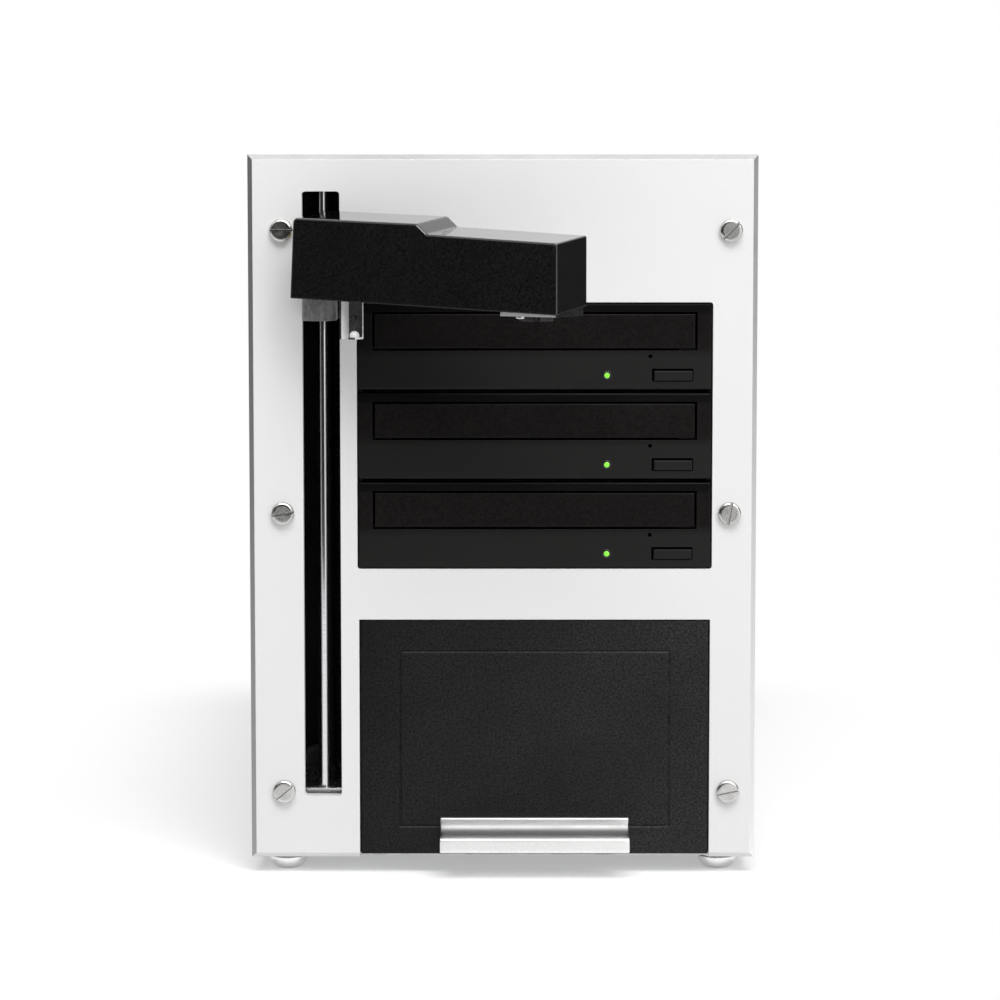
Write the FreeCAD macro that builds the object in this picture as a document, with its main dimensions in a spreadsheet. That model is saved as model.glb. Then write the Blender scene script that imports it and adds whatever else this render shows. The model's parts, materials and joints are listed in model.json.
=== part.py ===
"""Robotic disc duplicator: a drive tower with a lifting and swinging disc arm and a disc drawer.

Millimetres. X runs to the right of someone facing the machine, Y to the back and Z up. The origin is on
the table, under the middle of the space that the machine takes up with its arm swung out.
"""
import FreeCAD, Part
import Sketcher
import math
import operator
import os
from types import SimpleNamespace

doc = FreeCAD.newDocument("disc_duplicator")

# Driving dimensions in millimetres, angles in degrees.
SIZES = {
    # Cabinet
    "front_offset": 150.0,  # origin to the panel's front face
    "cabinet_depth": 380.0,
    "panel_thick": 5.0,
    "panel_bevel": 2.1,
    "left_margin": 30.7,  # panel's left edge to the middle of the slot
    "slot_to_bay": 14.9,  # middle of the slot to the drive bay
    "right_margin": 18.7,  # drive bay to the panel's right edge
    "head_height": 61.8,  # drive bay to the panel's top edge
    "band_height": 21.6,  # drawer opening to the drive bay
    "bay_corner": 1.2,
    "slot_width": 15.7,
    "slot_low": 26.7,
    "slot_head": 15.4,
    "slot_corner": 1.4,
    "sheet": 1.2,
    "cover_inset": 1.2,
    "cover_round": 2.5,
    "pan_flange": 14.0,
    "foot_height": 7.0,
    "foot_radius": 8.2,
    "foot_round": 4.8,
    "foot_side": 14.8,  # panel's edge to the middle of a foot
    "foot_setback": 15.0,
    "vent_width": 3.0,
    "vent_length": 42.0,
    "vent_pitch": 8.0,
    "run_gap": 0.3,  # between sliding pieces
    # Panel screws
    "screw_left": 14.2,
    "screw_right": 11.4,
    "screw_low": 28.8,
    "screw_mid": 147.7,
    "screw_drop": 31.7,
    "screw_head": 4.9,
    "screw_rise": 2.6,
    "screw_round": 1.1,
    "screw_shank": 2.0,
    "screw_bite": 6.0,
    "cover_bite": 4.0,
    "screw_slot": 1.3,
    "screw_slot_depth": 1.2,
    "hole_clear": 0.3,
    # Drives
    "drive_inset": 1.45,  # face's side edge to the housing
    "drive_height": 35.4,
    "drive_depth": 168.0,
    "drive_wall": 1.0,
    "drive_pitch": 37.8,
    "bezel_width": 148.9,
    "bezel_height": 36.3,
    "bezel_gap": 0.45,
    "bezel_recess": 0.4,
    "bezel_round": 0.8,
    "door_side": 6.05,  # face's side edge to the door's opening
    "door_drop": 3.6,
    "door_opening": 16.3,
    "door_gap": 0.9,
    "door_thick": 3.4,
    "door_round": 0.5,
    "tray_side": 4.4,  # door's opening to the tray
    "tray_thick": 6.2,
    "tray_length": 156.0,
    "tray_lift": 0.8,
    "tray_recess": 2.2,
    "disc_radius": 60.0,
    "disc_clear": 0.7,
    "disc_setback": 70.0,  # drive face to the middle of the disc
    "pickup_width": 38.0,
    "rail_width": 12.0,
    "rail_thick": 2.0,
    "button_side": 16.45,  # face's right edge to the button's middle
    "button_drop": 30.2,
    "button_width": 17.4,
    "button_height": 5.4,
    "button_depth": 8.0,
    "button_proud": 0.6,
    "button_show": 0.6,  # more gap over the button and on its left
    "light_side": 44.05,
    "light_drop": 30.3,
    "light_radius": 1.35,
    "light_length": 7.0,
    "eject_hole_side": 25.85,
    "eject_hole_drop": 22.3,
    "eject_hole_radius": 0.85,
    # Drawer
    "drawer_inset": 1.1,  # drive bay's side to the drawer front
    "drawer_height": 100.4,
    "drawer_low": 1.5,
    "drawer_gap": 0.5,
    "drawer_recess": 0.5,
    "drawer_round": 0.5,
    "groove_side": 16.2,
    "groove_low": 11.5,
    "groove_high": 12.6,
    "groove_width": 1.1,
    "groove_depth": 0.7,
    "handle_length": 80.0,
    "handle_low": 3.6,  # drawer front's lower edge to the handle
    "handle_height": 12.2,
    "handle_reach": 15.0,
    "handle_lip": 6.4,
    "handle_wall": 1.8,
    "bin_floor": 30.5,  # panel's bottom to the top of the bin's floor
    "bin_thick": 2.0,
    "bin_side": 5.0,  # cage to the bin
    "bin_rim": 5.0,
    "well_pitch": 128.0,
    "post_radius": 3.0,
    "post_height": 60.0,
    "runner_web": 1.2,
    "runner_width": 6.4,
    "runner_height": 20.0,
    "runner_low": 3.0,
    "runner_length": 252.0,
    "skirt_thick": 1.5,
    # Lift
    "rod_radius": 3.0,
    "rod_setback": 14.0,
    "rod_spacing": 30.0,
    "bush_wall": 1.6,
    "block_height": 10.0,
    "block_show": 1.7,  # lower block's top over the slot's lower end
    "block_depth": 44.0,
    "column_left": 22.8,
    "column_right": 13.2,
    "column_depth": 75.0,
    "column_flange": 11.0,
    "carriage_width": 22.0,
    "carriage_height": 39.0,
    "carriage_front": 0.7,
    "carriage_back": 9.0,
    "nose_width": 14.0,
    "nose_show": 9.6,
    "pulley_radius": 8.0,
    "pulley_shift": 6.3,
    "pulley_flange": 2.4,
    "belt_width": 6.0,
    "belt_thick": 1.5,
    "flange_thick": 0.8,
    "flange_gap": 1.0,
    "shaft_radius": 2.5,
    "shaft_reach": 12.0,
    "idler_pin": 2.0,
    "idler_drop": 16.0,
    "motor_size": 35.0,
    "motor_length": 34.0,
    "motor_rise": 4.5,
    "motor_corner": 4.0,
    "clamp_height": 12.0,
    "clamp_wall": 3.2,
    # Arm, measured along itself from the pivot
    "pivot_forward": 14.0,
    "pivot_radius": 2.5,
    "pivot_fit": 0.06,
    "arm_angle": 30.0,
    "arm_tail": 4.5,
    "arm_reach": 119.7,
    "arm_width": 25.3,
    "arm_sheet": 1.2,
    "arm_round": 1.0,
    "fold_round": 2.2,
    "root_height": 33.0,
    "root_fall": 1.9,
    "root_lean": 1.7,
    "step_start": 55.0,
    "step_run": 5.0,
    "step_fall": 4.2,
    "tip_fall": 2.9,
    "bottom_fall": 4.1,
    "roof_rise": 2.8,  # cover's front edges to its back edges
    "back_start": 16.0,
    "lip_show": 0.9,
    "lip_thick": 1.5,
    "lip_length": 25.0,
    "tray_clear": 0.5,
    "claw_depth": 2.2,
    "frame_rise": 20.8,  # lip's underside to the frame plate's underside
    "frame_thick": 3.0,
    "frame_hub": 9.0,
    "grip_inset": 16.3,  # arm's end to the gripper's axis
    "grip_hole": 8.4,
    "claw_outer": 6.9,
    "claw_inner": 3.2,
    "claw_angle": 96.0,
    "claw_stem": 3.0,
    "claw_stem_height": 4.0,
    "housing_radius": 10.5,
    "housing_height": 7.0,
    "plunger_radius": 2.2,
    "plunger_length": 14.0,
    "solenoid_radius": 8.0,
    "gear_module": 0.7,
    "gear_width": 4.0,
    "gear_lift": 0.6,
    "swing_motor_radius": 6.0,
    "swing_motor_length": 13.5,
    "swing_shaft": 1.0,
    "sensor_along": 16.5,
    "sensor_out": 3.2,
    "sensor_face": 7.4,
    "sensor_side": 6.4,
    "sensor_sheet": 0.8,
    "sensor_hang": 16.5,
    "sensor_hole": 3.2,
    "arm_screw_head": 1.6,
    "arm_screw_shank": 1.0,
    "arm_screw_bite": 5.0,
    # Rear and electronics
    "supply_left": 7.6,  # power inlet to the supply
    "supply_right": 16.2,  # supply to the cover
    "supply_height": 86.0,
    "supply_depth": 140.0,
    "fan_size": 80.0,
    "fan_thick": 25.0,
    "fan_bore": 37.5,
    "fan_hub": 17.0,
    "fan_tip": 1.2,
    "fan_low": 104.0,
    "fan_strut": 3.0,
    "grille_ring": 4.2,
    "grille_web": 2.6,
    "inlet_x": 22.0,  # cover's inner side to the inlet's middle
    "inlet_drop": 40.0,
    "inlet_width": 31.0,
    "inlet_height": 50.0,
    "inlet_flange": 2.5,
    "inlet_body": 27.0,
    "inlet_depth": 20.0,
    "socket_width": 23.0,
    "socket_height": 16.0,
    "socket_depth": 14.0,
    "blade_width": 2.2,
    "blade_length": 9.0,
    "rocker_width": 19.0,
    "rocker_height": 12.6,
    "rocker_depth": 7.0,
    "rocker_tilt": 8.0,
    "port_drop": 92.0,
    "port_size": 12.0,
    "port_depth": 16.0,
    "board_width": 118.0,
    "board_depth": 140.0,
    "board_thick": 1.6,
    "chip_size": 19.6,
    "chip_pitch": 31.4,
    "standoff_height": 6.0,
    "standoff_radius": 3.0,
}

sheet = doc.addObject("Spreadsheet::Sheet", "Sizes")
for row, (alias, number) in enumerate(SIZES.items(), start=1):
    sheet.set(f"A{row}", str(number))
    sheet.setAlias(f"A{row}", alias)
doc.recompute()


class Size:
    """A number together with the sheet formula that gives it, so that sums stay bound to the sheet."""

    def __init__(self, value, formula=None):
        self.value = float(value)
        self.formula = formula or f"({self.value!r})"

    def __add__(self, other):
        return combined(self, "+", other)

    def __radd__(self, other):
        return combined(other, "+", self)

    def __sub__(self, other):
        return combined(self, "-", other)

    def __rsub__(self, other):
        return combined(other, "-", self)

    def __mul__(self, other):
        return combined(self, "*", other)

    def __rmul__(self, other):
        return combined(other, "*", self)

    def __truediv__(self, other):
        return combined(self, "/", other)

    def __neg__(self):
        return combined(0, "-", self)


OPERATIONS = {"+": operator.add, "-": operator.sub, "*": operator.mul, "/": operator.truediv}


def as_size(number):
    """A plain number as a Size, and a Size as it is."""
    return number if isinstance(number, Size) else Size(number)


def combined(left, sign, right):
    """Two sizes added, taken away, multiplied or divided, in number and in formula."""
    left, right = as_size(left), as_size(right)
    return Size(OPERATIONS[sign](left.value, right.value), f"({left.formula} {sign} {right.formula})")


def sine(angle):
    """Sine of an angle in degrees."""
    return Size(math.sin(math.radians(angle.value)), f"sin({angle.formula} * 1 deg)")


def cosine(angle):
    """Cosine of an angle in degrees."""
    return Size(math.cos(math.radians(angle.value)), f"cos({angle.formula} * 1 deg)")


S = SimpleNamespace(**{alias: Size(number, f"Sizes.{alias}") for alias, number in SIZES.items()})
NODES = []
TURN_TO = {
    "X": FreeCAD.Rotation(FreeCAD.Vector(0, 1, 0), 90),
    "Y": FreeCAD.Rotation(FreeCAD.Vector(1, 0, 0), -90),
    "Z": FreeCAD.Rotation(),
}


def bind(thing, prop, size):
    """Tie one property of an object to the sheet."""
    thing.setExpression(prop, as_size(size).formula)


def place(thing, x, y, z):
    """Tie an object's position to the sheet."""
    bind(thing, "Placement.Base.x", x)
    bind(thing, "Placement.Base.y", y)
    bind(thing, "Placement.Base.z", z)
    return thing


def node(thing, label):
    """Name a finished sub-part, which is written to a file of that name."""
    thing.Label = label
    NODES.append(thing)
    return thing


def box(x, y, z):
    """A block between two limits along each axis."""
    made = doc.addObject("Part::Box", "block")
    bind(made, "Length", x[1] - x[0])
    bind(made, "Width", y[1] - y[0])
    bind(made, "Height", z[1] - z[0])
    return place(made, x[0], y[0], z[0])


def around(middle, width):
    """The two limits of a width that is centred on a place."""
    return (middle - width / 2, middle + width / 2)


def cylinder(axis, radius, x, y, z):
    """A round bar along one axis, whose two limits are given for that axis."""
    made = doc.addObject("Part::Cylinder", "bar")
    made.Placement = FreeCAD.Placement(FreeCAD.Vector(), TURN_TO[axis])
    limits = {"X": x, "Y": y, "Z": z}[axis]
    bind(made, "Radius", radius)
    bind(made, "Height", limits[1] - limits[0])
    start = {"X": x, "Y": y, "Z": z}
    start[axis] = limits[0]
    return place(made, start["X"], start["Y"], start["Z"])


def fuse(*pieces):
    """One solid from touching or overlapping pieces."""
    made = doc.addObject("Part::MultiFuse", "joined")
    made.Shapes = list(pieces)
    made.Refine = True
    return made


def group(*pieces):
    """Separate solids that are kept in one node."""
    made = doc.addObject("Part::Compound", "set")
    made.Links = list(pieces)
    return made


def cut(base, *tools):
    """A base with every tool taken out of it."""
    made = doc.addObject("Part::Cut", "trimmed")
    made.Base = base
    made.Tool = tools[0] if len(tools) == 1 else group(*tools)
    made.Refine = True
    return made


def rounded(base, radius, wanted):
    """A base with the edges that a test picks out rounded off."""
    doc.recompute()
    made = doc.addObject("Part::Fillet", "rounded")
    made.Base = base
    numbers = [n for n, edge in enumerate(base.Shape.Edges, start=1) if wanted(edge)]
    made.Edges = [(n, radius.value, radius.value) for n in numbers]
    return made


def edge_along(edge, axis):
    """Whether an edge is straight and runs along an axis."""
    if not isinstance(edge.Curve, Part.Line):
        return False
    return abs(abs(edge.Curve.Direction.dot(axis)) - 1) < 1e-6


def near(value, size):
    """Whether a coordinate lies at a size."""
    return abs(value - as_size(size).value) < 1e-4


ALONG_X = FreeCAD.Vector(1, 0, 0)
ALONG_Y = FreeCAD.Vector(0, 1, 0)
ALONG_Z = FreeCAD.Vector(0, 0, 1)


class Profile:
    """A sketch on an origin plane of its own body, drawn with bound polygons and circles."""

    def __init__(self, body, role, name):
        self.sketch = body.newObject("Sketcher::SketchObject", name)
        plane = next(f for f in body.Origin.OriginFeatures if f.Role == role)
        self.sketch.AttachmentSupport = [(plane, "")]
        self.sketch.MapMode = "FlatFace"

    def hold(self, kind, geometry, point, size):
        """Hold one point of the sketch at a bound distance from the sketch's origin."""
        number = self.sketch.addConstraint(
            Sketcher.Constraint(kind, -1, 1, geometry, point, as_size(size).value)
        )
        bind(self.sketch, f"Constraints[{number}]", size)

    def polygon(self, points):
        """A closed outline of straight edges."""
        places = [FreeCAD.Vector(as_size(x).value, as_size(y).value, 0) for x, y in points]
        first = self.sketch.GeometryCount
        for start, end in zip(places, places[1:] + places[:1]):
            self.sketch.addGeometry(Part.LineSegment(start, end), False)
        for turn, (x, y) in enumerate(points):
            line = first + turn
            following = first + (turn + 1) % len(points)
            self.sketch.addConstraint(Sketcher.Constraint("Coincident", line, 2, following, 1))
            self.hold("DistanceX", line, 1, x)
            self.hold("DistanceY", line, 1, y)

    def rectangle(self, across, up):
        """A rectangle between two limits each way."""
        corners = [(across[0], up[0]), (across[1], up[0]), (across[1], up[1]), (across[0], up[1])]
        self.polygon(corners)

    def circle(self, x, y, radius):
        """A bound circle."""
        middle = FreeCAD.Vector(as_size(x).value, as_size(y).value, 0)
        ring = self.sketch.addGeometry(Part.Circle(middle, FreeCAD.Vector(0, 0, 1), radius.value), False)
        self.hold("DistanceX", ring, 3, x)
        self.hold("DistanceY", ring, 3, y)
        number = self.sketch.addConstraint(Sketcher.Constraint("Radius", ring, radius.value))
        bind(self.sketch, f"Constraints[{number}]", radius)


def padded(body, profile, length):
    """A pad of a profile, towards the plane's own side."""
    pad = body.newObject("PartDesign::Pad", "Pad")
    pad.Profile = profile.sketch
    bind(pad, "Length", length)
    doc.recompute()
    return pad


def edge_names(feature, wanted):
    """Names of a feature's edges that a test picks out."""
    return [f"Edge{n}" for n, edge in enumerate(feature.Shape.Edges, start=1) if wanted(edge)]


def dressed(body, kind, base, prop, size, wanted):
    """A fillet or a chamfer on picked edges of a feature."""
    made = body.newObject(f"PartDesign::{kind}", kind)
    made.Base = (base, edge_names(base, wanted))
    bind(made, prop, size)
    doc.recompute()
    return made


DRIVES = (1, 2, 3)

# Places that several sub-parts share
front_y = -S.front_offset
panel_back = front_y + S.panel_thick
back_y = front_y + S.cabinet_depth
rear_y = back_y - S.sheet
base_z = S.foot_height
floor_z = base_z + S.sheet
bay_width = S.bezel_width + 2 * S.bezel_gap
panel_width = S.left_margin + S.slot_to_bay + bay_width + S.right_margin
half_width = panel_width / 2
slot_x = S.left_margin - half_width
bay_x = slot_x + S.slot_to_bay + bay_width / 2
drive_width = S.bezel_width - 2 * S.drive_inset
door_width = S.bezel_width - 2 * S.door_side
drawer_width = bay_width - 2 * S.drawer_inset
drawer_bottom = base_z + S.drawer_low
drawer_top = drawer_bottom + S.drawer_height
opening_top = drawer_top + S.drawer_gap
bay_low = opening_top + S.band_height
bay_top = bay_low + (len(DRIVES) - 1) * S.drive_pitch + S.bezel_height + 2 * S.bezel_gap
top_z = bay_top + S.head_height
cover_half = half_width - S.cover_inset
inner_half = cover_half - S.sheet
cover_top = top_z - S.cover_inset
inner_top = cover_top - S.sheet
face_right = bay_x + S.bezel_width / 2
cage_left = bay_x - drive_width / 2
cage_right = bay_x + drive_width / 2
rod_y = front_y + S.rod_setback
rear_rod_y = rod_y + S.rod_spacing
column_back = panel_back + S.column_depth
screw_places = [
    (S.screw_left - half_width, base_z + S.screw_low, 40),
    (S.screw_left - half_width, base_z + S.screw_mid, 8),
    (S.screw_left - half_width, top_z - S.screw_drop, 0),
    (half_width - S.screw_right, base_z + S.screw_low, 12),
    (half_width - S.screw_right, base_z + S.screw_mid, 80),
    (half_width - S.screw_right, top_z - S.screw_drop, 45),
]
GEAR_TEETH = 28
PINION_TEETH = 18
FAN_BLADES = 7
BLADE_LEAN = 42
CLAWS = 3
CHIPS = 3
SIDE_VENTS = 9
REAR_VENTS = 14
GRILLE_RINGS = 5
POST_ANGLES = (40, -50, -130)
COVER_SCREW_SHARES = (0.1, 0.5, 0.9)
TOOTH_ROOT = 1.2  # below the pitch circle, in modules
TOOTH_TIP = 0.9  # above the pitch circle, in modules
TOOTH_CORNERS = (("root", -0.3), ("tip", -0.13), ("tip", 0.13), ("root", 0.3))  # shares of a pitch
NOUGHT = as_size(0)


def bezel_low(number):
    """Lower edge of a drive's face, where drive 1 is the top one."""
    return bay_low + S.bezel_gap + (len(DRIVES) - number) * S.drive_pitch


def bezel_top(number):
    """Upper edge of a drive's face."""
    return bezel_low(number) + S.bezel_height


def drive_low(number):
    """Underside of a drive's housing."""
    return bezel_low(number) + (S.bezel_height - S.drive_height) / 2


def door_top(number):
    """Upper edge of a drive's tray door."""
    return bezel_top(number) - S.door_drop - S.door_gap


def door_low(number):
    """Lower edge of a drive's tray door."""
    return bezel_top(number) - S.door_drop - S.door_opening + S.door_gap


# Heights of the arm, which passes just over the top tray
lip_low = door_top(DRIVES[0]) + S.tray_clear + S.claw_depth
lip_top = lip_low + S.lip_thick
tip_bottom = lip_low + S.lip_show
root_bottom = tip_bottom + S.bottom_fall
root_top = root_bottom + S.root_height
step_top = root_top - S.root_fall
step_low = step_top - S.step_fall
tip_top = step_low - S.tip_fall
frame_low = lip_low + S.frame_rise
frame_top = frame_low + S.frame_thick
nose_low = root_bottom - S.nose_show
nose_top = frame_low - S.run_gap
pivot_y = front_y - S.pivot_forward
arm_half = S.arm_width / 2
arm_inner = arm_half - S.arm_sheet
grip_along = S.arm_reach - S.grip_inset


def make_front_panel():
    """Bevelled panel with the slot, the drive bay and an opening for the drawer, which is open below."""
    body = doc.addObject("PartDesign::Body", "front_panel_body")
    bind(body, "Placement.Base.y", panel_back)
    opening = around(bay_x, drawer_width + 2 * S.drawer_gap)
    slot = (around(slot_x, S.slot_width), (base_z + S.slot_low, top_z - S.slot_head))
    bay = (around(bay_x, bay_width), (bay_low, bay_top))
    profile = Profile(body, "XZ_Plane", "panel_outline")
    profile.polygon(
        [
            (-half_width, base_z),
            (opening[0], base_z),
            (opening[0], opening_top),
            (opening[1], opening_top),
            (opening[1], base_z),
            (half_width, base_z),
            (half_width, top_z),
            (-half_width, top_z),
        ]
    )
    profile.rectangle(*slot)
    profile.rectangle(*bay)
    for x, z, _ in screw_places:
        profile.circle(x, z, S.screw_shank + S.hole_clear)
    solid = padded(body, profile, S.panel_thick)

    def corner_of(across, up):
        def wanted(edge):
            middle = edge.CenterOfMass
            at_side = near(middle.x, across[0]) or near(middle.x, across[1])
            at_end = near(middle.z, up[0]) or near(middle.z, up[1])
            return edge_along(edge, ALONG_Y) and at_side and at_end

        return wanted

    solid = dressed(body, "Fillet", solid, "Radius", S.slot_corner, corner_of(*slot))
    solid = dressed(body, "Fillet", solid, "Radius", S.bay_corner, corner_of(*bay))

    def rim(edge):
        middle = edge.CenterOfMass
        at_side = near(abs(middle.x), half_width)
        at_end = near(middle.z, base_z) or near(middle.z, top_z)
        return near(middle.y, -S.panel_thick) and (at_side or at_end)

    dressed(body, "Chamfer", solid, "Size", S.panel_bevel, rim)
    return node(body, "front_panel")


def make_cabinet():
    """Base pan, wrap cover and rear panel, with their screws and the feet."""
    across = (-inner_half, inner_half)
    flange_z = (floor_z, floor_z + S.pan_flange)
    screw_z = floor_z + S.pan_flange / 2
    screw_ys = [panel_back + (rear_y - panel_back) * share for share in COVER_SCREW_SHARES]
    side_holes = [
        cylinder("X", S.screw_shank, (-half_width, half_width), y, screw_z) for y in screw_ys
    ]
    pan = fuse(
        box(across, (panel_back, back_y), (base_z, floor_z)),
        box((-inner_half, -inner_half + S.sheet), (panel_back, rear_y), flange_z),
        box((inner_half - S.sheet, inner_half), (panel_back, rear_y), flange_z),
    )
    node(cut(pan, *side_holes), "base_pan")

    shell = box((-cover_half, cover_half), (panel_back, back_y), (base_z, cover_top))
    shell = rounded(
        shell, S.cover_round, lambda e: edge_along(e, ALONG_Y) and near(e.CenterOfMass.z, cover_top)
    )
    hollow = box(across, (panel_back - S.sheet, back_y + S.sheet), (base_z - S.sheet, inner_top))
    vents = [
        box(
            (-half_width, half_width),
            around(rear_y - S.vent_length - count * S.vent_pitch, S.vent_width),
            around(bay_top, S.vent_length),
        )
        for count in range(SIDE_VENTS)
    ]
    side_holes = [
        cylinder("X", S.screw_shank, (-half_width, half_width), y, screw_z) for y in screw_ys
    ]
    node(cut(shell, hollow, *vents, *side_holes), "wrap_cover")

    screws = []
    for y in screw_ys:
        for side in (-1, 1):
            ends = sorted((side * cover_half, side * half_width), key=lambda size: size.value)
            bite = side * (inner_half - S.cover_bite)
            shank = sorted((bite, side * cover_half), key=lambda size: size.value)
            head = cylinder("X", S.screw_head - S.screw_round, ends, y, screw_z)
            screws.append(fuse(head, cylinder("X", S.screw_shank, shank, y, screw_z)))
    node(group(*screws), "cover_screws")

    feet = []
    for side in (-1, 1):
        for y in (front_y + S.foot_setback, back_y - S.foot_setback):
            foot = cylinder("Z", S.foot_radius, side * (half_width - S.foot_side), y, (NOUGHT, base_z))
            feet.append(rounded(foot, S.foot_round, lambda e: near(e.CenterOfMass.z, 0)))
    node(group(*feet), "feet")

    screws = []
    for x, z, turn in screw_places:
        head = cylinder("Y", S.screw_head, NOUGHT, (-S.screw_rise, NOUGHT), NOUGHT)
        head = rounded(head, S.screw_round, lambda e: near(e.CenterOfMass.y, -S.screw_rise))
        shank_y = (NOUGHT, S.panel_thick + S.screw_bite)
        shank = cylinder("Y", S.screw_shank, NOUGHT, shank_y, NOUGHT)
        slot = box(
            around(NOUGHT, 2 * S.screw_head),
            (-S.screw_rise, S.screw_slot_depth - S.screw_rise),
            around(NOUGHT, S.screw_slot),
        )
        screw = group(cut(fuse(head, shank), slot))
        screw.Placement.Rotation = FreeCAD.Rotation(ALONG_Y, turn)
        screws.append(place(screw, x, front_y, z))
    node(group(*screws), "panel_screws")


fan_z = floor_z + S.fan_low
inlet_x = S.inlet_x - inner_half
inlet_z = inner_top - S.inlet_drop
socket_z = inlet_z + (S.inlet_height - S.socket_height) / 2 - S.inlet_flange * 2
rocker_z = inlet_z - (S.inlet_height - S.rocker_height) / 2 + S.inlet_flange * 2
port_z = inner_top - S.port_drop


def make_rear():
    """Rear panel with its openings, the power inlet and switch, the data port and the fan."""
    through = (rear_y - S.sheet, back_y + S.sheet)
    rings = []
    ring_pitch = S.grille_ring + S.grille_web
    for count in range(GRILLE_RINGS):
        outer = S.fan_bore - count * ring_pitch
        ring = cylinder("Y", outer, bay_x, through, fan_z)
        rings.append(cut(ring, cylinder("Y", outer - S.grille_ring, bay_x, through, fan_z)))
    spokes = fuse(
        box(around(bay_x, S.fan_size), through, around(fan_z, S.grille_web)),
        box(around(bay_x, S.grille_web), through, around(fan_z, S.fan_size)),
    )
    vents = [
        box(
            around(bay_x + S.vent_pitch * (count - (REAR_VENTS - 1) / 2), S.vent_width),
            through,
            around(inner_top - S.supply_height / 2, S.vent_length),
        )
        for count in range(REAR_VENTS)
    ]
    plate = box((-inner_half, inner_half), (rear_y, back_y), (floor_z, inner_top))
    body_z = around(inlet_z, S.inlet_height - 2 * S.inlet_flange)
    inlet_hole = box(around(inlet_x, S.inlet_body), through, body_z)
    port_hole = box(around(inlet_x, S.port_size), through, around(port_z, S.port_size))
    node(cut(plate, cut(group(*rings), spokes), *vents, inlet_hole, port_hole), "rear_panel")

    face_y = back_y + S.inlet_flange
    module = fuse(
        box(around(inlet_x, S.inlet_width), (back_y, face_y), around(inlet_z, S.inlet_height)),
        box(around(inlet_x, S.inlet_body), (back_y - S.inlet_depth, back_y), body_z),
    )
    socket_y = (face_y - S.socket_depth, face_y)
    socket = box(around(inlet_x, S.socket_width), socket_y, around(socket_z, S.socket_height))
    well = box(
        around(inlet_x, S.rocker_width),
        (face_y - S.rocker_depth - S.rocker_height / 2, face_y),
        around(rocker_z, S.rocker_height),
    )
    module = cut(module, socket, well)
    blades = []
    for column, row in ((-1, -1), (0, 1), (1, -1)):
        blade = box(
            around(inlet_x + column * S.socket_width / 4, S.blade_width),
            (face_y - S.socket_depth, face_y - S.socket_depth + S.blade_length),
            around(socket_z + row * S.blade_width, 2 * S.blade_width),
        )
        blades.append(blade)
    node(fuse(module, *blades), "power_inlet")

    rocker_x = around(NOUGHT, S.rocker_width - 2 * S.run_gap)
    rocker = cylinder("X", S.rocker_height / 2 - S.run_gap, rocker_x, NOUGHT, NOUGHT)
    dish = cylinder("X", S.rocker_height, rocker_x, S.rocker_height * 5 / 4, NOUGHT)
    tilted = group(cut(rocker, dish))
    tilted.Placement.Rotation = FreeCAD.Rotation(ALONG_X, -S.rocker_tilt.value)
    node(place(tilted, inlet_x, face_y - S.rocker_height / 4, rocker_z), "power_rocker")

    port_y = (back_y - S.port_depth, back_y + S.sheet)
    port = box(around(inlet_x, S.port_size), port_y, around(port_z, S.port_size))
    mouth = box(
        around(inlet_x, S.port_size - 2 * S.sheet),
        (port_y[0] + S.inlet_flange, port_y[1] + S.sheet),
        around(port_z, S.port_size - 2 * S.sheet),
    )
    node(cut(port, mouth), "data_port")

    fan_y = (rear_y - S.fan_thick, rear_y)
    stator_y = (rear_y - S.fan_strut, rear_y)
    frame = box(around(bay_x, S.fan_size), fan_y, around(fan_z, S.fan_size))
    frame = cut(frame, cylinder("Y", S.fan_bore, bay_x, fan_y, fan_z))
    pin_y = (fan_y[0] + S.fan_strut, rear_y)
    node(
        fuse(
            frame,
            cylinder("Y", S.fan_hub, bay_x, stator_y, fan_z),
            box(around(bay_x, 2 * S.fan_bore + S.fan_strut), stator_y, around(fan_z, S.fan_strut)),
            box(around(bay_x, S.fan_strut), stator_y, around(fan_z, 2 * S.fan_bore + S.fan_strut)),
            cylinder("Y", S.screw_shank, bay_x, pin_y, fan_z),
        ),
        "fan_frame",
    )
    rotor_y = (fan_y[0] + S.fan_strut / 2, stator_y[0] - S.run_gap)
    blades = []
    for count in range(FAN_BLADES):
        blade = box(
            (NOUGHT, S.fan_bore), around(NOUGHT, S.sheet), (-S.fan_thick, S.fan_thick)
        )
        blade.Placement.Rotation = FreeCAD.Rotation(ALONG_X, BLADE_LEAN)
        lean = group(blade)
        lean.Placement.Rotation = FreeCAD.Rotation(ALONG_Z, 360 / FAN_BLADES * count)
        blades.append(lean)
    wheel = group(*blades)
    wheel.Placement.Rotation = TURN_TO["Y"]
    place(wheel, bay_x, (rotor_y[0] + rotor_y[1]) / 2, fan_z)
    sweep = doc.addObject("Part::Common", "sweep")
    sweep.Base = wheel
    sweep.Tool = cylinder("Y", S.fan_bore - S.fan_tip, bay_x, rotor_y, fan_z)
    hub = cylinder("Y", S.fan_hub, bay_x, rotor_y, fan_z)
    bore = cylinder("Y", S.screw_shank + S.pivot_fit, bay_x, (rear_y - 2 * S.fan_thick, rear_y), fan_z)
    node(cut(fuse(sweep, hub), bore), "fan_rotor")


upper_end = panel_back + S.drive_depth
shelf_top = drive_low(DRIVES[-1])
deck_low = drive_low(DRIVES[0]) + S.drive_height
deck_top = deck_low + S.sheet
board_z = deck_top + S.standoff_height
runner_front = panel_back
runner_back = runner_front + S.runner_length


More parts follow.
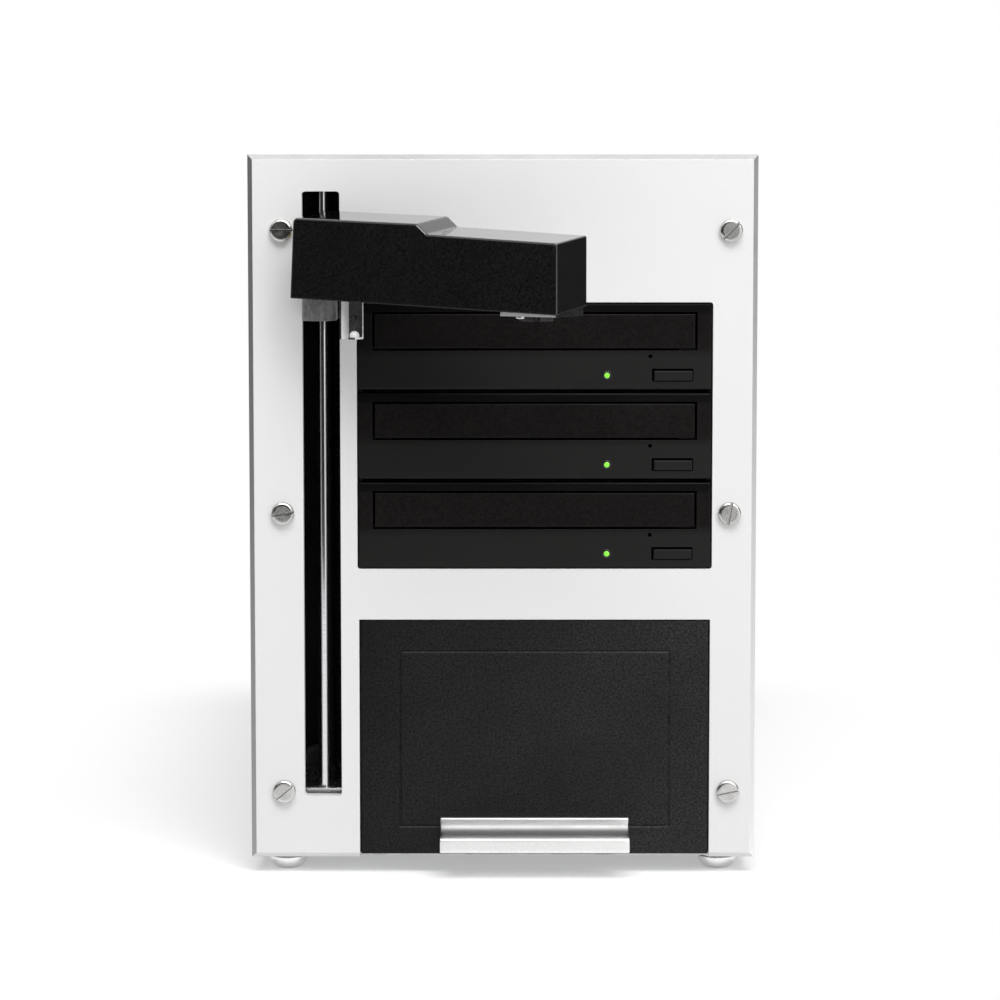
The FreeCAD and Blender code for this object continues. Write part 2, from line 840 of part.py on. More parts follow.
def make_cage():
    """Folded cage that carries the drives, the drawer runners and the controller, and the parts on it."""
    pieces = []
    for x in ((cage_left - S.sheet, cage_left), (cage_right, cage_right + S.sheet)):
        pieces.append(box(x, (panel_back, runner_back + S.pan_flange), (floor_z, shelf_top)))
        pieces.append(box(x, (panel_back, upper_end), (shelf_top, deck_top)))
    inside = (cage_left, cage_right)
    pieces.append(box(inside, (panel_back, upper_end), (shelf_top - S.sheet, shelf_top)))
    pieces.append(box(inside, (panel_back, upper_end), (deck_low, deck_top)))
    flange_x = (cage_right, inner_half - S.sheet)
    pieces.append(box(flange_x, (panel_back, panel_back + S.sheet), (floor_z, inner_top)))
    board_front = panel_back + S.pan_flange
    board = (around(bay_x, S.board_width), (board_front, board_front + S.board_depth))
    for x in (board[0][0] + 2 * S.standoff_radius, board[0][1] - 2 * S.standoff_radius):
        for y in (board[1][0] + 2 * S.standoff_radius, board[1][1] - 2 * S.standoff_radius):
            pieces.append(cylinder("Z", S.standoff_radius, x, y, (deck_top, board_z)))
    holes = [
        cylinder("Y", S.screw_shank + S.hole_clear, x, (front_y, panel_back + S.screw_bite), z)
        for x, z, _ in screw_places[3:]
    ]
    node(cut(fuse(*pieces), *holes), "drive_cage")

    board_top = board_z + S.board_thick
    left, front = board[0][0] + S.pan_flange, board[1][0] + S.pan_flange
    chip = S.chip_size
    parts = [box(*board, (board_z, board_top))]
    for column in range(CHIPS):
        x = left + column * S.chip_pitch
        parts.append(box((x, x + chip), (front, front + chip), (board_top, board_top + S.board_thick)))
        y = board[1][1] - S.pan_flange
        parts.append(box((x, x + chip), (y - S.port_size, y), (board_top, board_top + S.port_size)))
    node(fuse(*parts), "controller_board")

    supply_z = (inner_top - S.run_gap - S.supply_height, inner_top - S.run_gap)
    supply_y = rear_y - S.supply_depth
    supply_x = (inlet_x + S.inlet_body / 2 + S.supply_left, inner_half - S.supply_right)
    case = box(supply_x, (supply_y, rear_y), supply_z)
    hollow = box(
        (supply_x[0] + S.drive_wall, supply_x[1] - S.drive_wall),
        (supply_y + S.drive_wall, rear_y),
        (supply_z[0] + S.drive_wall, supply_z[1] - S.drive_wall),
    )
    node(cut(case, hollow), "power_supply")


def make_drive(number):
    """One optical drive: housing with tray rails, face, tray, tray door and eject button."""
    low, face_top = drive_low(number), bezel_top(number)
    outer = (around(bay_x, drive_width), (panel_back, upper_end), (low, low + S.drive_height))
    inner_width = drive_width - 2 * S.drive_wall
    hollow = box(
        around(bay_x, inner_width),
        (front_y, upper_end - S.drive_wall),
        (low + S.drive_wall, low + S.drive_height - S.drive_wall),
    )
    tray_low = door_low(number) + S.tray_lift
    rail_z = (tray_low - S.run_gap - S.rail_thick, tray_low - S.run_gap)
    rails = [
        box((x, x + S.rail_width), (panel_back, upper_end), rail_z)
        for x in (cage_left, cage_right - S.rail_width)
    ]
    node(fuse(cut(box(*outer), hollow), *rails), f"drive_{number}_housing")

    body = doc.addObject("PartDesign::Body", f"drive_{number}_face_body")
    bind(body, "Placement.Base.y", panel_back)
    thick = S.panel_thick - S.bezel_recess
    profile = Profile(body, "XZ_Plane", "face_outline")
    face = (around(bay_x, S.bezel_width), (bezel_low(number), face_top))
    opening_high = face_top - S.door_drop
    button_z = face_top - S.button_drop
    profile.rectangle(*face)
    profile.rectangle(around(bay_x, door_width), (opening_high - S.door_opening, opening_high))
    button_x = around(face_right - S.button_side, S.button_width)
    button_up = around(button_z, S.button_height)
    profile.rectangle(button_x, button_up)
    profile.circle(face_right - S.light_side, face_top - S.light_drop, S.light_radius + S.run_gap)
    profile.circle(face_right - S.eject_hole_side, face_top - S.eject_hole_drop, S.eject_hole_radius)
    solid = padded(body, profile, thick)

    def rim(edge):
        middle = edge.CenterOfMass
        at_side = near(middle.x, face[0][0]) or near(middle.x, face[0][1])
        at_end = near(middle.z, face[1][0]) or near(middle.z, face[1][1])
        return near(middle.y, -thick) and (at_side or at_end)

    dressed(body, "Fillet", solid, "Radius", S.bezel_round, rim)
    node(body, f"drive_{number}_face")

    face_y = front_y + S.bezel_recess
    door_back = face_y + S.door_thick
    door_x = around(bay_x, door_width - 2 * S.door_gap)
    door = box(door_x, (face_y, door_back), (door_low(number), door_top(number)))
    door = rounded(door, S.door_round, lambda e: near(e.CenterOfMass.y, face_y))
    node(door, f"drive_{number}_tray_door")

    disc_y = face_y + S.disc_setback
    tray_top = tray_low + S.tray_thick
    tray_end = door_back + S.tray_length
    tray = box(around(bay_x, door_width - 2 * S.tray_side), (door_back, tray_end), (tray_low, tray_top))
    recess = cylinder(
        "Z", S.disc_radius + S.disc_clear, bay_x, disc_y, (tray_top - S.tray_recess, tray_top + S.tray_recess)
    )
    through = (tray_low - S.tray_recess, tray_top + S.tray_recess)
    window = fuse(
        cylinder("Z", S.pickup_width / 2, bay_x, disc_y, through),
        box(around(bay_x, S.pickup_width), (disc_y, disc_y + S.disc_radius), through),
    )
    node(cut(tray, recess, window), f"drive_{number}_tray")

    button_y = face_y - S.button_proud
    button = box(
        (button_x[0] + S.run_gap + S.button_show, button_x[1] - S.run_gap),
        (button_y, button_y + S.button_depth),
        (button_up[0] + S.run_gap, button_up[1] - S.run_gap - S.button_show),
    )
    button = rounded(button, S.door_round, lambda e: near(e.CenterOfMass.y, button_y))
    node(button, f"drive_{number}_eject_button")


def make_lights():
    """Status lights of the three drives."""
    face_y = front_y + S.bezel_recess
    limits = (face_y, face_y + S.light_length)
    x = face_right - S.light_side
    lights = [cylinder("Y", S.light_radius, x, limits, bezel_top(n) - S.light_drop) for n in DRIVES]
    node(group(*lights), "drive_lights")


drawer_y = front_y + S.drawer_recess
drawer_back = panel_back - S.run_gap
bin_top = base_z + S.bin_floor
bin_low = bin_top - S.bin_thick
well_ys = (drawer_y + S.disc_setback, drawer_y + S.disc_setback + S.well_pitch)
runner_z = (floor_z + S.runner_low, floor_z + S.runner_low + S.runner_height)
runner_step = S.runner_web + S.run_gap


def runner_pair(stage, hollow, start, end):
    """Left and right runner of one stage, nested one step further in than the stage before it."""
    pair = []
    for side in (-1, 1):
        wall = cage_left if side < 0 else cage_right
        near_x = wall - side * runner_step * stage
        far_x = near_x - side * S.runner_width
        x = (near_x, far_x) if side < 0 else (far_x, near_x)
        z = (runner_z[0] + runner_step * stage, runner_z[1] - runner_step * stage)
        bar = box(x, (start, end), z)
        if hollow:
            inner_x = (x[0] + S.runner_web, x[1]) if side < 0 else (x[0], x[1] - S.runner_web)
            channel = box(inner_x, (start, end), (z[0] + S.runner_web, z[1] - S.runner_web))
            bar = cut(bar, channel)
        pair.append(bar)
    return group(*pair)


def make_drawer():
    """Drawer front, handle, bin with two disc wells, and its three stages of runners."""
    face = (around(bay_x, drawer_width), (drawer_y, drawer_back), (drawer_bottom, drawer_top))
    frame_x = (face[0][0] + S.groove_side, face[0][1] - S.groove_side)
    frame_z = (drawer_bottom + S.groove_low, drawer_top - S.groove_high)
    depth = (drawer_y, drawer_y + S.groove_depth)
    groove = cut(
        box(frame_x, depth, frame_z),
        box(
            (frame_x[0] + S.groove_width, frame_x[1] - S.groove_width),
            depth,
            (frame_z[0] + S.groove_width, frame_z[1] - S.groove_width),
        ),
    )
    plate = rounded(box(*face), S.drawer_round, lambda e: near(e.CenterOfMass.y, drawer_y))
    node(cut(plate, groove), "drawer_front")

    sweep = S.handle_height - S.handle_lip
    low = drawer_bottom + S.handle_low
    high = low + S.handle_height
    lip_z = low + S.handle_lip
    length = around(bay_x, S.handle_length)
    front = drawer_y - S.handle_reach
    scoop_y = drawer_y - S.handle_wall - sweep
    bar = cut(
        box(length, (front, drawer_y), (low, high)),
        cylinder("X", sweep, length, scoop_y, high),
        box(length, (front, scoop_y), (lip_z, high)),
        box(length, (front + S.handle_wall, drawer_y - S.handle_wall), (low, lip_z - S.handle_wall)),
    )
    lip_round = S.handle_wall / 3

    def lip_edge(edge):
        middle = edge.CenterOfMass
        return edge_along(edge, ALONG_X) and near(middle.y, front)

    node(rounded(bar, lip_round, lip_edge), "drawer_handle")

    bin_x = (cage_left + S.bin_side, cage_right - S.bin_side)
    bin_end = well_ys[1] + S.disc_radius + 2 * S.post_radius
    rim_z = (bin_low, bin_top + S.bin_rim)
    inner_x = cage_left + 2 * runner_step + S.runner_width
    inner_right = cage_right - 2 * runner_step - S.runner_width
    skirt_z = (runner_z[0] + 2 * runner_step, bin_low)
    pieces = [
        box(bin_x, (drawer_back, bin_end), (bin_low, bin_top)),
        box((bin_x[0], bin_x[0] + S.bin_thick), (drawer_back, bin_end), rim_z),
        box((bin_x[1] - S.bin_thick, bin_x[1]), (drawer_back, bin_end), rim_z),
        box(bin_x, (bin_end - S.bin_thick, bin_end), rim_z),
        box((inner_x, inner_x + S.skirt_thick), (drawer_back, bin_end), skirt_z),
        box((inner_right - S.skirt_thick, inner_right), (drawer_back, bin_end), skirt_z),
    ]
    post_out = S.disc_radius + S.disc_clear + S.post_radius
    for well_y in well_ys:
        for degrees in POST_ANGLES:
            turn = as_size(degrees)
            x = bay_x + post_out * cosine(turn)
            y = well_y + post_out * sine(turn)
            pieces.append(cylinder("Z", S.post_radius, x, y, (bin_low, bin_top + S.post_height)))
    holes = [cylinder("Z", S.grip_hole, bay_x, y, (base_z, bin_top)) for y in well_ys]
    node(cut(fuse(*pieces), *holes), "drawer_bin")

    node(runner_pair(0, True, runner_front, runner_back + S.runner_low), "outer_runners")
    node(runner_pair(1, True, runner_front, runner_back), "middle_runners")
    node(runner_pair(2, False, drawer_back, drawer_back + S.runner_length), "inner_runners")


pulley_x = slot_x - S.pulley_shift
belt_y = column_back - S.flange_gap * 2 - S.flange_thick - S.belt_width / 2
pulley_z = floor_z + S.motor_rise + S.motor_size / 2
idler_z = inner_top - S.idler_drop
belt_inner = S.pulley_radius + S.run_gap
belt_outer = belt_inner + S.belt_thick
belt_run_x = pulley_x + belt_inner + S.belt_thick / 2


def pulley(z):
    """A flanged belt pulley."""
    width = S.belt_width + 2 * S.flange_gap
    face = around(belt_y, width)
    flange = S.pulley_radius + S.pulley_flange
    return fuse(
        cylinder("Y", S.pulley_radius, pulley_x, face, z),
        cylinder("Y", flange, pulley_x, (face[0] - S.flange_thick, face[0]), z),
        cylinder("Y", flange, pulley_x, (face[1], face[1] + S.flange_thick), z),
    )


def belt_loop(radius, limits):
    """A long round-ended block around both pulleys."""
    return fuse(
        cylinder("Y", radius, pulley_x, limits, pulley_z),
        cylinder("Y", radius, pulley_x, limits, idler_z),
        box(around(pulley_x, 2 * radius), limits, (pulley_z, idler_z)),
    )


def make_lift():
    """Column behind the slot with its rods, blocks, motor, belt and pulleys."""
    left, right = slot_x - S.column_left, slot_x + S.column_right
    deep = (panel_back, column_back + S.sheet)
    tall = (floor_z, inner_top)
    wall_y = (column_back, column_back + S.sheet)
    pin_y = (belt_y - S.belt_width, column_back)
    shell = fuse(
        box((left - S.sheet, left), deep, tall),
        box((right, right + S.sheet), deep, tall),
        box((left, right), wall_y, tall),
        box((left, left + S.column_flange), (panel_back, panel_back + S.sheet), tall),
        cylinder("Y", S.idler_pin, pulley_x, pin_y, idler_z),
    )
    holes = [
        cylinder("Y", S.screw_shank + S.hole_clear, x, (front_y, panel_back + S.screw_bite), z)
        for x, z, _ in screw_places[:3]
    ]
    shaft_hole = cylinder("Y", S.shaft_radius + S.flange_gap, pulley_x, wall_y, pulley_z)
    node(cut(shell, *holes, shaft_hole), "lift_column")

    low_z = (floor_z, base_z + S.slot_low + S.block_show)
    high_z = (inner_top - S.block_height, inner_top)
    block_y = (rod_y - 2 * S.rod_radius, rod_y - 2 * S.rod_radius + S.block_depth)
    blocks = []
    for z in (low_z, high_z):
        bores = [cylinder("Z", S.rod_radius, slot_x, y, z) for y in (rod_y, rear_rod_y)]
        blocks.append(cut(box((left, right), block_y, z), *bores, *holes))
    node(group(*blocks), "rod_blocks")
    rods = [cylinder("Z", S.rod_radius, slot_x, y, tall) for y in (rod_y, rear_rod_y)]
    node(group(*rods), "guide_rods")

    motor_y = (wall_y[1], wall_y[1] + S.motor_length)
    motor = box(around(pulley_x, S.motor_size), motor_y, around(pulley_z, S.motor_size))
    motor = rounded(motor, S.motor_corner, lambda e: edge_along(e, ALONG_Y))
    shaft_y = (belt_y, wall_y[1] + S.shaft_reach)
    bore_y = (wall_y[1], shaft_y[1] + S.run_gap)
    bore = cylinder("Y", S.shaft_radius + S.pivot_fit, pulley_x, bore_y, pulley_z)
    node(cut(motor, bore), "lift_motor")
    node(fuse(pulley(pulley_z), cylinder("Y", S.shaft_radius, pulley_x, shaft_y, pulley_z)), "lift_pulley")
    bore_y = (belt_y - S.column_depth, column_back)
    idler_bore = cylinder("Y", S.idler_pin + S.pivot_fit, pulley_x, bore_y, idler_z)
    node(cut(pulley(idler_z), idler_bore), "idler_pulley")
    limits = around(belt_y, S.belt_width)
    node(cut(belt_loop(belt_outer, limits), belt_loop(belt_inner, limits)), "lift_belt")


def make_carriage():
    """Carriage on the two rods, whose nose comes out through the slot to carry the arm's pivot."""
    block_y = (panel_back + S.carriage_front, rear_rod_y + S.carriage_back)
    block_z = (nose_low, nose_low + S.carriage_height)
    clamp_width = S.belt_thick + 2 * (S.run_gap + S.clamp_wall)
    clamp_z = around((block_z[0] + block_z[1]) / 2, S.clamp_height)
    clamp_end = belt_y + S.belt_width / 2
    solid = fuse(
        box(around(slot_x, S.carriage_width), block_y, block_z),
        box(around(slot_x, S.nose_width), (pivot_y, block_y[0] + S.sheet), (nose_low, nose_top)),
        cylinder("Z", S.nose_width / 2, slot_x, pivot_y, (nose_low, nose_top)),
        box(around(belt_run_x, clamp_width), (block_y[1], clamp_end), clamp_z),
    )
    bush_radius = S.rod_radius + S.bush_wall
    bores = [cylinder("Z", bush_radius, slot_x, y, block_z) for y in (rod_y, rear_rod_y)]
    pin_low = nose_low + S.nose_show
    pin_hole = cylinder("Z", S.pivot_radius, slot_x, pivot_y, (pin_low, nose_top))
    belt_way = box(
        around(belt_run_x, S.belt_thick + 2 * S.run_gap),
        (belt_y - S.belt_width / 2 - S.run_gap, clamp_end),
        clamp_z,
    )
    node(cut(solid, *bores, pin_hole, belt_way), "lift_carriage")

    bushes = [
        cut(
            cylinder("Z", bush_radius, slot_x, y, block_z),
            cylinder("Z", S.rod_radius + S.pivot_fit, slot_x, y, block_z),
        )
        for y in (rod_y, rear_rod_y)
    ]
    node(group(*bushes), "carriage_bushes")
    gear_high = frame_top + S.gear_lift + S.gear_width
    node(cylinder("Z", S.pivot_radius, slot_x, pivot_y, (pin_low, gear_high)), "pivot_pin")


def on_arm(thing):
    """A piece drawn along the arm, set at the pivot and swung out to the arm's angle."""
    made = group(thing)
    made.Placement.Rotation = FreeCAD.Rotation(ALONG_Z, -S.arm_angle.value)
    made.setExpression("Placement.Rotation.Angle", f"-{S.arm_angle.formula} * 1 deg")
    return place(made, slot_x, pivot_y, NOUGHT)


def arm_profile(name, points, width):
    """A block as wide as the arm or its inside, with a side outline that rises towards the back."""
    body = doc.addObject("PartDesign::Body", name)
    bind(body, "Placement.Base.y", width / 2)
    slope = S.roof_rise / S.arm_width
    lift = slope * (arm_half + width / 2)
    profile = Profile(body, "XZ_Plane", f"{name}_outline")
    profile.polygon([(along, up + lift) for along, up in points])
    pad = padded(body, profile, width)
    pad.UseCustomVector = True
    pad.Direction = FreeCAD.Vector(0, -1, -slope.value)
    pad.AlongSketchNormal = True
    return body


def toothed(teeth, bore, turn):
    """Outline of a gear with straight-sided teeth, bored and extruded, with a tooth at a given turn."""
    pitch = 2 * math.pi / teeth
    module = S.gear_module.value
    reach = {"root": module * (teeth / 2 - TOOTH_ROOT), "tip": module * (teeth / 2 + TOOTH_TIP)}
    corners = []
    for count in range(teeth):
        middle = turn + count * pitch
        for place_on, share in TOOTH_CORNERS:
            angle = middle + share * pitch
            arm = FreeCAD.Vector(math.cos(angle), math.sin(angle), 0)
            corners.append(arm * reach[place_on])
    face = Part.Face(Part.makePolygon(corners + corners[:1]))
    wheel = face.extrude(FreeCAD.Vector(0, 0, S.gear_width.value))
    if bore:
        wheel = wheel.cut(Part.makeCylinder(bore.value, S.gear_width.value))
    made = doc.addObject("Part::Feature", "toothed")
    made.Shape = wheel
    return made


def make_arm():
    """Arm cover, frame, swing drive, sensor bracket and screws, drawn along X and then swung out."""
    inside = (-arm_inner, arm_inner)
    end = S.arm_reach - S.arm_sheet
    step_end = S.step_start + S.step_run
    outline = [
        (-S.arm_tail - S.root_lean, root_bottom),
        (S.arm_reach, tip_bottom),
        (S.arm_reach, tip_top),
        (step_end, step_low),
        (S.step_start, step_top),
        (-S.arm_tail, root_top),
    ]
    skin = S.arm_sheet
    hollow = [
        (-S.arm_tail - 2 * S.root_lean, root_bottom - S.root_height),
        (end, root_bottom - S.root_height),
        (end, tip_top - skin),
        (step_end - skin / 2, step_low - skin),
        (S.step_start - skin / 2, step_top - skin),
        (-S.arm_tail - 2 * S.root_lean, root_top - skin),
    ]
    screw_us = (S.step_start, end - S.lip_length)
    screw_z = (frame_low + frame_top) / 2
    screw_end = arm_half - S.arm_screw_bite
    holes = [cylinder("Y", S.arm_screw_shank, u, (screw_end, arm_half), screw_z) for u in screw_us]
    tail_u = (-S.arm_tail - 2 * S.root_lean, S.back_start)
    tail = box(tail_u, (arm_inner, arm_half + skin), (nose_low, root_top - skin))

    def fold(edge):
        middle = edge.CenterOfMass
        at_fold = any(near(middle.x, u) for u in (-S.arm_tail, S.step_start, step_end))
        return at_fold and near(middle.y, 0) and middle.z > frame_top.value

    shell = cut(
        rounded(arm_profile("arm_outside", outline, S.arm_width), S.fold_round, fold),
        arm_profile("arm_inside", hollow, S.arm_width - 2 * skin),
        tail,
        *holes,
    )

    lower = root_bottom + S.roof_rise + skin
    gear_top = frame_top + S.gear_lift + S.gear_width

    def folded_edge(edge):
        middle = edge.CenterOfMass
        at_front = near(middle.y, -arm_half) and middle.z > lower.value
        at_back = near(middle.y, arm_half) and middle.z > gear_top.value
        at_end = near(middle.x, S.arm_reach) and middle.z > lower.value
        return at_front or at_back or at_end

    node(on_arm(rounded(shell, S.arm_round, folded_edge)), "arm_cover")

    gear_middle = (GEAR_TEETH + PINION_TEETH) / 2 * S.gear_module
    shaft_hole = cylinder("Z", S.swing_shaft + S.run_gap, gear_middle, NOUGHT, (frame_low, frame_top))
    web_u = (end - S.frame_thick, end)
    frame = fuse(
        box((NOUGHT, end), inside, (frame_low, frame_top)),
        cylinder("Z", S.frame_hub, NOUGHT, NOUGHT, (frame_low, frame_top)),
        box(web_u, inside, (lip_low, frame_low)),
        box((end - S.lip_length, end), inside, (lip_low, lip_top)),
    )
    holes = [cylinder("Y", S.arm_screw_shank, u, (screw_end, arm_half), screw_z) for u in screw_us]
    frame = cut(
        frame,
        cylinder("Z", S.pivot_radius + S.pivot_fit, NOUGHT, NOUGHT, (frame_low, frame_top)),
        cylinder("Z", S.grip_hole, grip_along, NOUGHT, (lip_low, lip_top)),
        shaft_hole,
        *holes,
    )
    node(on_arm(frame), "arm_frame")

    screws = []
    for u in screw_us:
        head = cylinder("Y", S.arm_screw_head, u, (arm_half, arm_half + S.arm_screw_shank), screw_z)
        screws.append(fuse(head, cylinder("Y", S.arm_screw_shank, u, (screw_end, arm_half), screw_z)))
    node(on_arm(group(*screws)), "arm_screws")

    gear_z = frame_top + S.gear_lift
    gear = toothed(GEAR_TEETH, S.pivot_radius, 0)
    node(on_arm(place(gear, NOUGHT, NOUGHT, gear_z)), "swing_gear")
    half_pitch = math.pi / PINION_TEETH
    teeth = place(toothed(PINION_TEETH, None, math.pi + half_pitch), gear_middle, NOUGHT, gear_z)
    shaft_low = frame_low - S.swing_motor_length / 2
    shaft = cylinder("Z", S.swing_shaft, gear_middle, NOUGHT, (shaft_low, gear_z))
    node(on_arm(fuse(teeth, shaft)), "swing_pinion")
    motor_low = frame_low - S.swing_motor_length
    motor = cylinder("Z", S.swing_motor_radius, gear_middle, NOUGHT, (motor_low, frame_low))
    shaft_way = (shaft_low - S.run_gap, frame_low)
    bore = cylinder("Z", S.swing_shaft + S.pivot_fit, gear_middle, NOUGHT, shaft_way)
    node(on_arm(cut(motor, bore)), "swing_motor")

    face_u = (S.sensor_along, S.sensor_along + S.sensor_face)
    face_y = (-S.sensor_out - S.sensor_sheet, -S.sensor_out)
    side_u = (S.sensor_along, S.sensor_along + S.sensor_sheet)
    hang_z = root_bottom - S.sensor_hang
    fold_top = motor_low - S.run_gap
    side_y = (-S.sensor_out - S.sensor_side, -S.sensor_out)
    stem_y = (side_y[0], -S.swing_motor_radius - S.run_gap)
    hole_z = around(hang_z + S.sensor_hang / 2, S.sensor_hole)
    window = box(around((face_u[0] + face_u[1]) / 2, S.sensor_hole), (side_y[0], side_y[1]), hole_z)
    tab_u = (face_u[1] - S.sensor_hole, face_u[1])
    tab = box(tab_u, (side_y[0], face_y[1]), (hang_z, hang_z + S.sensor_sheet))
    bracket = fuse(
        cut(box(face_u, face_y, (hang_z, fold_top)), window),
        box(side_u, side_y, (hang_z, fold_top)),
        box(side_u, stem_y, (fold_top, frame_low)),
        tab,
    )
    node(on_arm(bracket), "sensor_bracket")


def make_gripper():
    """Solenoid gripper at the arm's tip: housing, solenoid, plunger and three claws."""
    middle = grip_along
    bore = S.plunger_radius + S.run_gap
    housing_top = lip_top + S.housing_height
    housing_z = (lip_top, housing_top)
    plunger_z = (lip_top + S.lip_thick, lip_top + S.lip_thick + S.plunger_length)
    ways = []
    for count in range(CLAWS):
        way = box(
            (S.plunger_radius, S.grip_hole),
            around(NOUGHT, S.claw_stem + 2 * S.run_gap),
            (lip_top, lip_top + S.claw_stem_height + S.run_gap),
        )
        turned = group(way)
        turned.Placement.Rotation = FreeCAD.Rotation(ALONG_Z, 360 / CLAWS * count)
        ways.append(place(turned, middle, NOUGHT, NOUGHT))
    block = cylinder("Z", S.housing_radius, middle, NOUGHT, housing_z)
    node(on_arm(cut(block, cylinder("Z", bore, middle, NOUGHT, housing_z), *ways)), "gripper_housing")
    coil = cylinder("Z", S.solenoid_radius, middle, NOUGHT, (housing_top, frame_low))
    coil_way = (housing_top, plunger_z[1] + S.run_gap)
    node(on_arm(cut(coil, cylinder("Z", bore, middle, NOUGHT, coil_way))), "gripper_solenoid")
    node(on_arm(cylinder("Z", S.plunger_radius, middle, NOUGHT, plunger_z)), "gripper_plunger")

    claw_z = (lip_low - S.claw_depth, lip_top - S.run_gap)
    for count in range(CLAWS):
        sector = cylinder("Z", S.claw_outer, NOUGHT, NOUGHT, claw_z)
        bind(sector, "Angle", S.claw_angle)
        sector.Placement.Rotation = FreeCAD.Rotation(ALONG_Z, -S.claw_angle.value / 2)
        sector = cut(sector, cylinder("Z", S.claw_inner, NOUGHT, NOUGHT, claw_z))
        stem_z = (claw_z[0], lip_top + S.claw_stem_height)
        stem = box((S.claw_inner, S.claw_outer), around(NOUGHT, S.claw_stem), stem_z)
        turned = group(fuse(sector, stem))
        turned.Placement.Rotation = FreeCAD.Rotation(ALONG_Z, 360 / CLAWS * count)
        node(on_arm(place(turned, middle, NOUGHT, NOUGHT)), f"gripper_claw_{count + 1}")


def check():
    """Stop if any object failed, or a sub-part is empty or not valid."""
    doc.recompute()
    for thing in doc.Objects:
        if {"Invalid", "Error"} & set(thing.State):
            raise RuntimeError(f"{thing.Name} ({thing.Label}) failed: {thing.State}")
    for thing in NODES:
        if thing.Shape.isNull() or not thing.Shape.isValid():
            raise RuntimeError(f"{thing.Label} has no valid shape")


make_front_panel()
make_cabinet()
make_rear()
make_cage()
for drive in DRIVES:
    make_drive(drive)
make_lights()
make_drawer()
make_lift()
make_carriage()
make_arm()
make_gripper()
check()
os.makedirs("parts", exist_ok=True)
for thing in NODES:
    thing.Shape.exportStep(f"parts/{thing.Label}.step")
    size = thing.Shape.BoundBox
    print(thing.Label, len(thing.Shape.Solids), "solids", round(thing.Shape.Volume), "mm3", size)
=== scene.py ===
# %% [markdown]
# The object is a robotic disc duplicator: a white tower with three disc drives, a drawer under them,
# and a black arm that lifts discs up and down along a slot. The imported model gives every piece its
# place, in metres, so this lesson starts by loading it. The dressed object has to stay inside it.

# %% Load the imported model
import json
import math

import bpy
import numpy as np
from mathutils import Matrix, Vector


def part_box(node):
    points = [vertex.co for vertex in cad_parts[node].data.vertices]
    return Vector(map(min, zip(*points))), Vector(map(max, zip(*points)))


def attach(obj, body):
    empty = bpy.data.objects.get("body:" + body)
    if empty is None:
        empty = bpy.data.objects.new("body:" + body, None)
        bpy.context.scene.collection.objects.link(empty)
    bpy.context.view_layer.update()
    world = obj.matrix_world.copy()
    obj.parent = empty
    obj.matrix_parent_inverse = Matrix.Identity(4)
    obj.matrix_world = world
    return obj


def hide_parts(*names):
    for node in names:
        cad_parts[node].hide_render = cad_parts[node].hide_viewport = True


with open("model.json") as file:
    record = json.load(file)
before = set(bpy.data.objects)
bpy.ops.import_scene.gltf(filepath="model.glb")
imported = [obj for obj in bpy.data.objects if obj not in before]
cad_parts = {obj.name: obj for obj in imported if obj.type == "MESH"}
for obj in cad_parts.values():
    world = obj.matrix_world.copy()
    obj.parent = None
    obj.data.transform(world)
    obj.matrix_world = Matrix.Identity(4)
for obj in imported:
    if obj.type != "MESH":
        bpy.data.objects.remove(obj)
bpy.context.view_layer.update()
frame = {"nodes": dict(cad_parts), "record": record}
nodes = frame["nodes"]

# %% [markdown]
# The photograph looks straight at the front panel, with upright edges that stay upright. A camera
# could stand level at the middle of the panel, but then it would never see the top of the arm. So it
# stands a little above the arm, tilts down five degrees, and a small lens shift puts the panel back
# in the middle of the picture.

# %% Camera
MM = 0.001
camera_spot, tilt_down = (-1.2 * MM, -1400 * MM, 300 * MM), 0.0844
lens = bpy.data.cameras.new("front_camera")
lens.lens, lens.sensor_width, lens.shift_y = 107.24, 36.0, -0.08
lens.clip_end = 60.0
camera = bpy.data.objects.new("front_camera", lens)
camera.location = camera_spot
camera.rotation_euler = (math.pi / 2 - tilt_down, 0.0, 0.0)
bpy.context.scene.collection.objects.link(camera)
bpy.context.scene.camera = camera
print("camera at", tuple(round(v, 3) for v in camera.location))

# %% [markdown]
# Every material below is a small net of nodes, and a few helpers keep that short. Some add a node and
# fill its sockets, with a plain value or with a wire from another node. Two more do sums on sockets: one
# operation, and a ramp from one range to another. A number that is the same all over a surface is set on
# the shader itself.


# %% Helpers for nodes
def fill(tree, target, value):
    """A socket that gets a plain value, or a wire where the value is another socket."""
    if isinstance(value, bpy.types.NodeSocket):
        tree.links.new(value, target)
    else:
        target.default_value = value


def feed(tree, node, **sockets):
    """The named sockets of a node, filled."""
    for name, value in sockets.items():
        fill(tree, node.inputs[name.replace("_", " ")], value)


def add(tree, kind, **sockets):
    """One node of that kind, with the named sockets filled."""
    made = tree.nodes.new("ShaderNode" + kind)
    feed(tree, made, **sockets)
    return made


def reckon(tree, operation, *values, kind="Math"):
    """The result of one operation, such as MULTIPLY, on sockets and plain values."""
    made = add(tree, kind)
    made.operation = operation
    for target, value in zip(made.inputs, values):
        fill(tree, target, value)
    single = kind == "Math" or operation in ("LENGTH", "DOT_PRODUCT")
    return made.outputs["Value" if single else "Vector"]


def ramp(tree, value, start, end, low=0.0, high=1.0):
    """A value that runs from start to end, carried over to low to high and held there beyond."""
    made = add(tree, "MapRange", Value=value, From_Min=start, From_Max=end, To_Min=low, To_Max=high)
    return made.outputs["Result"]


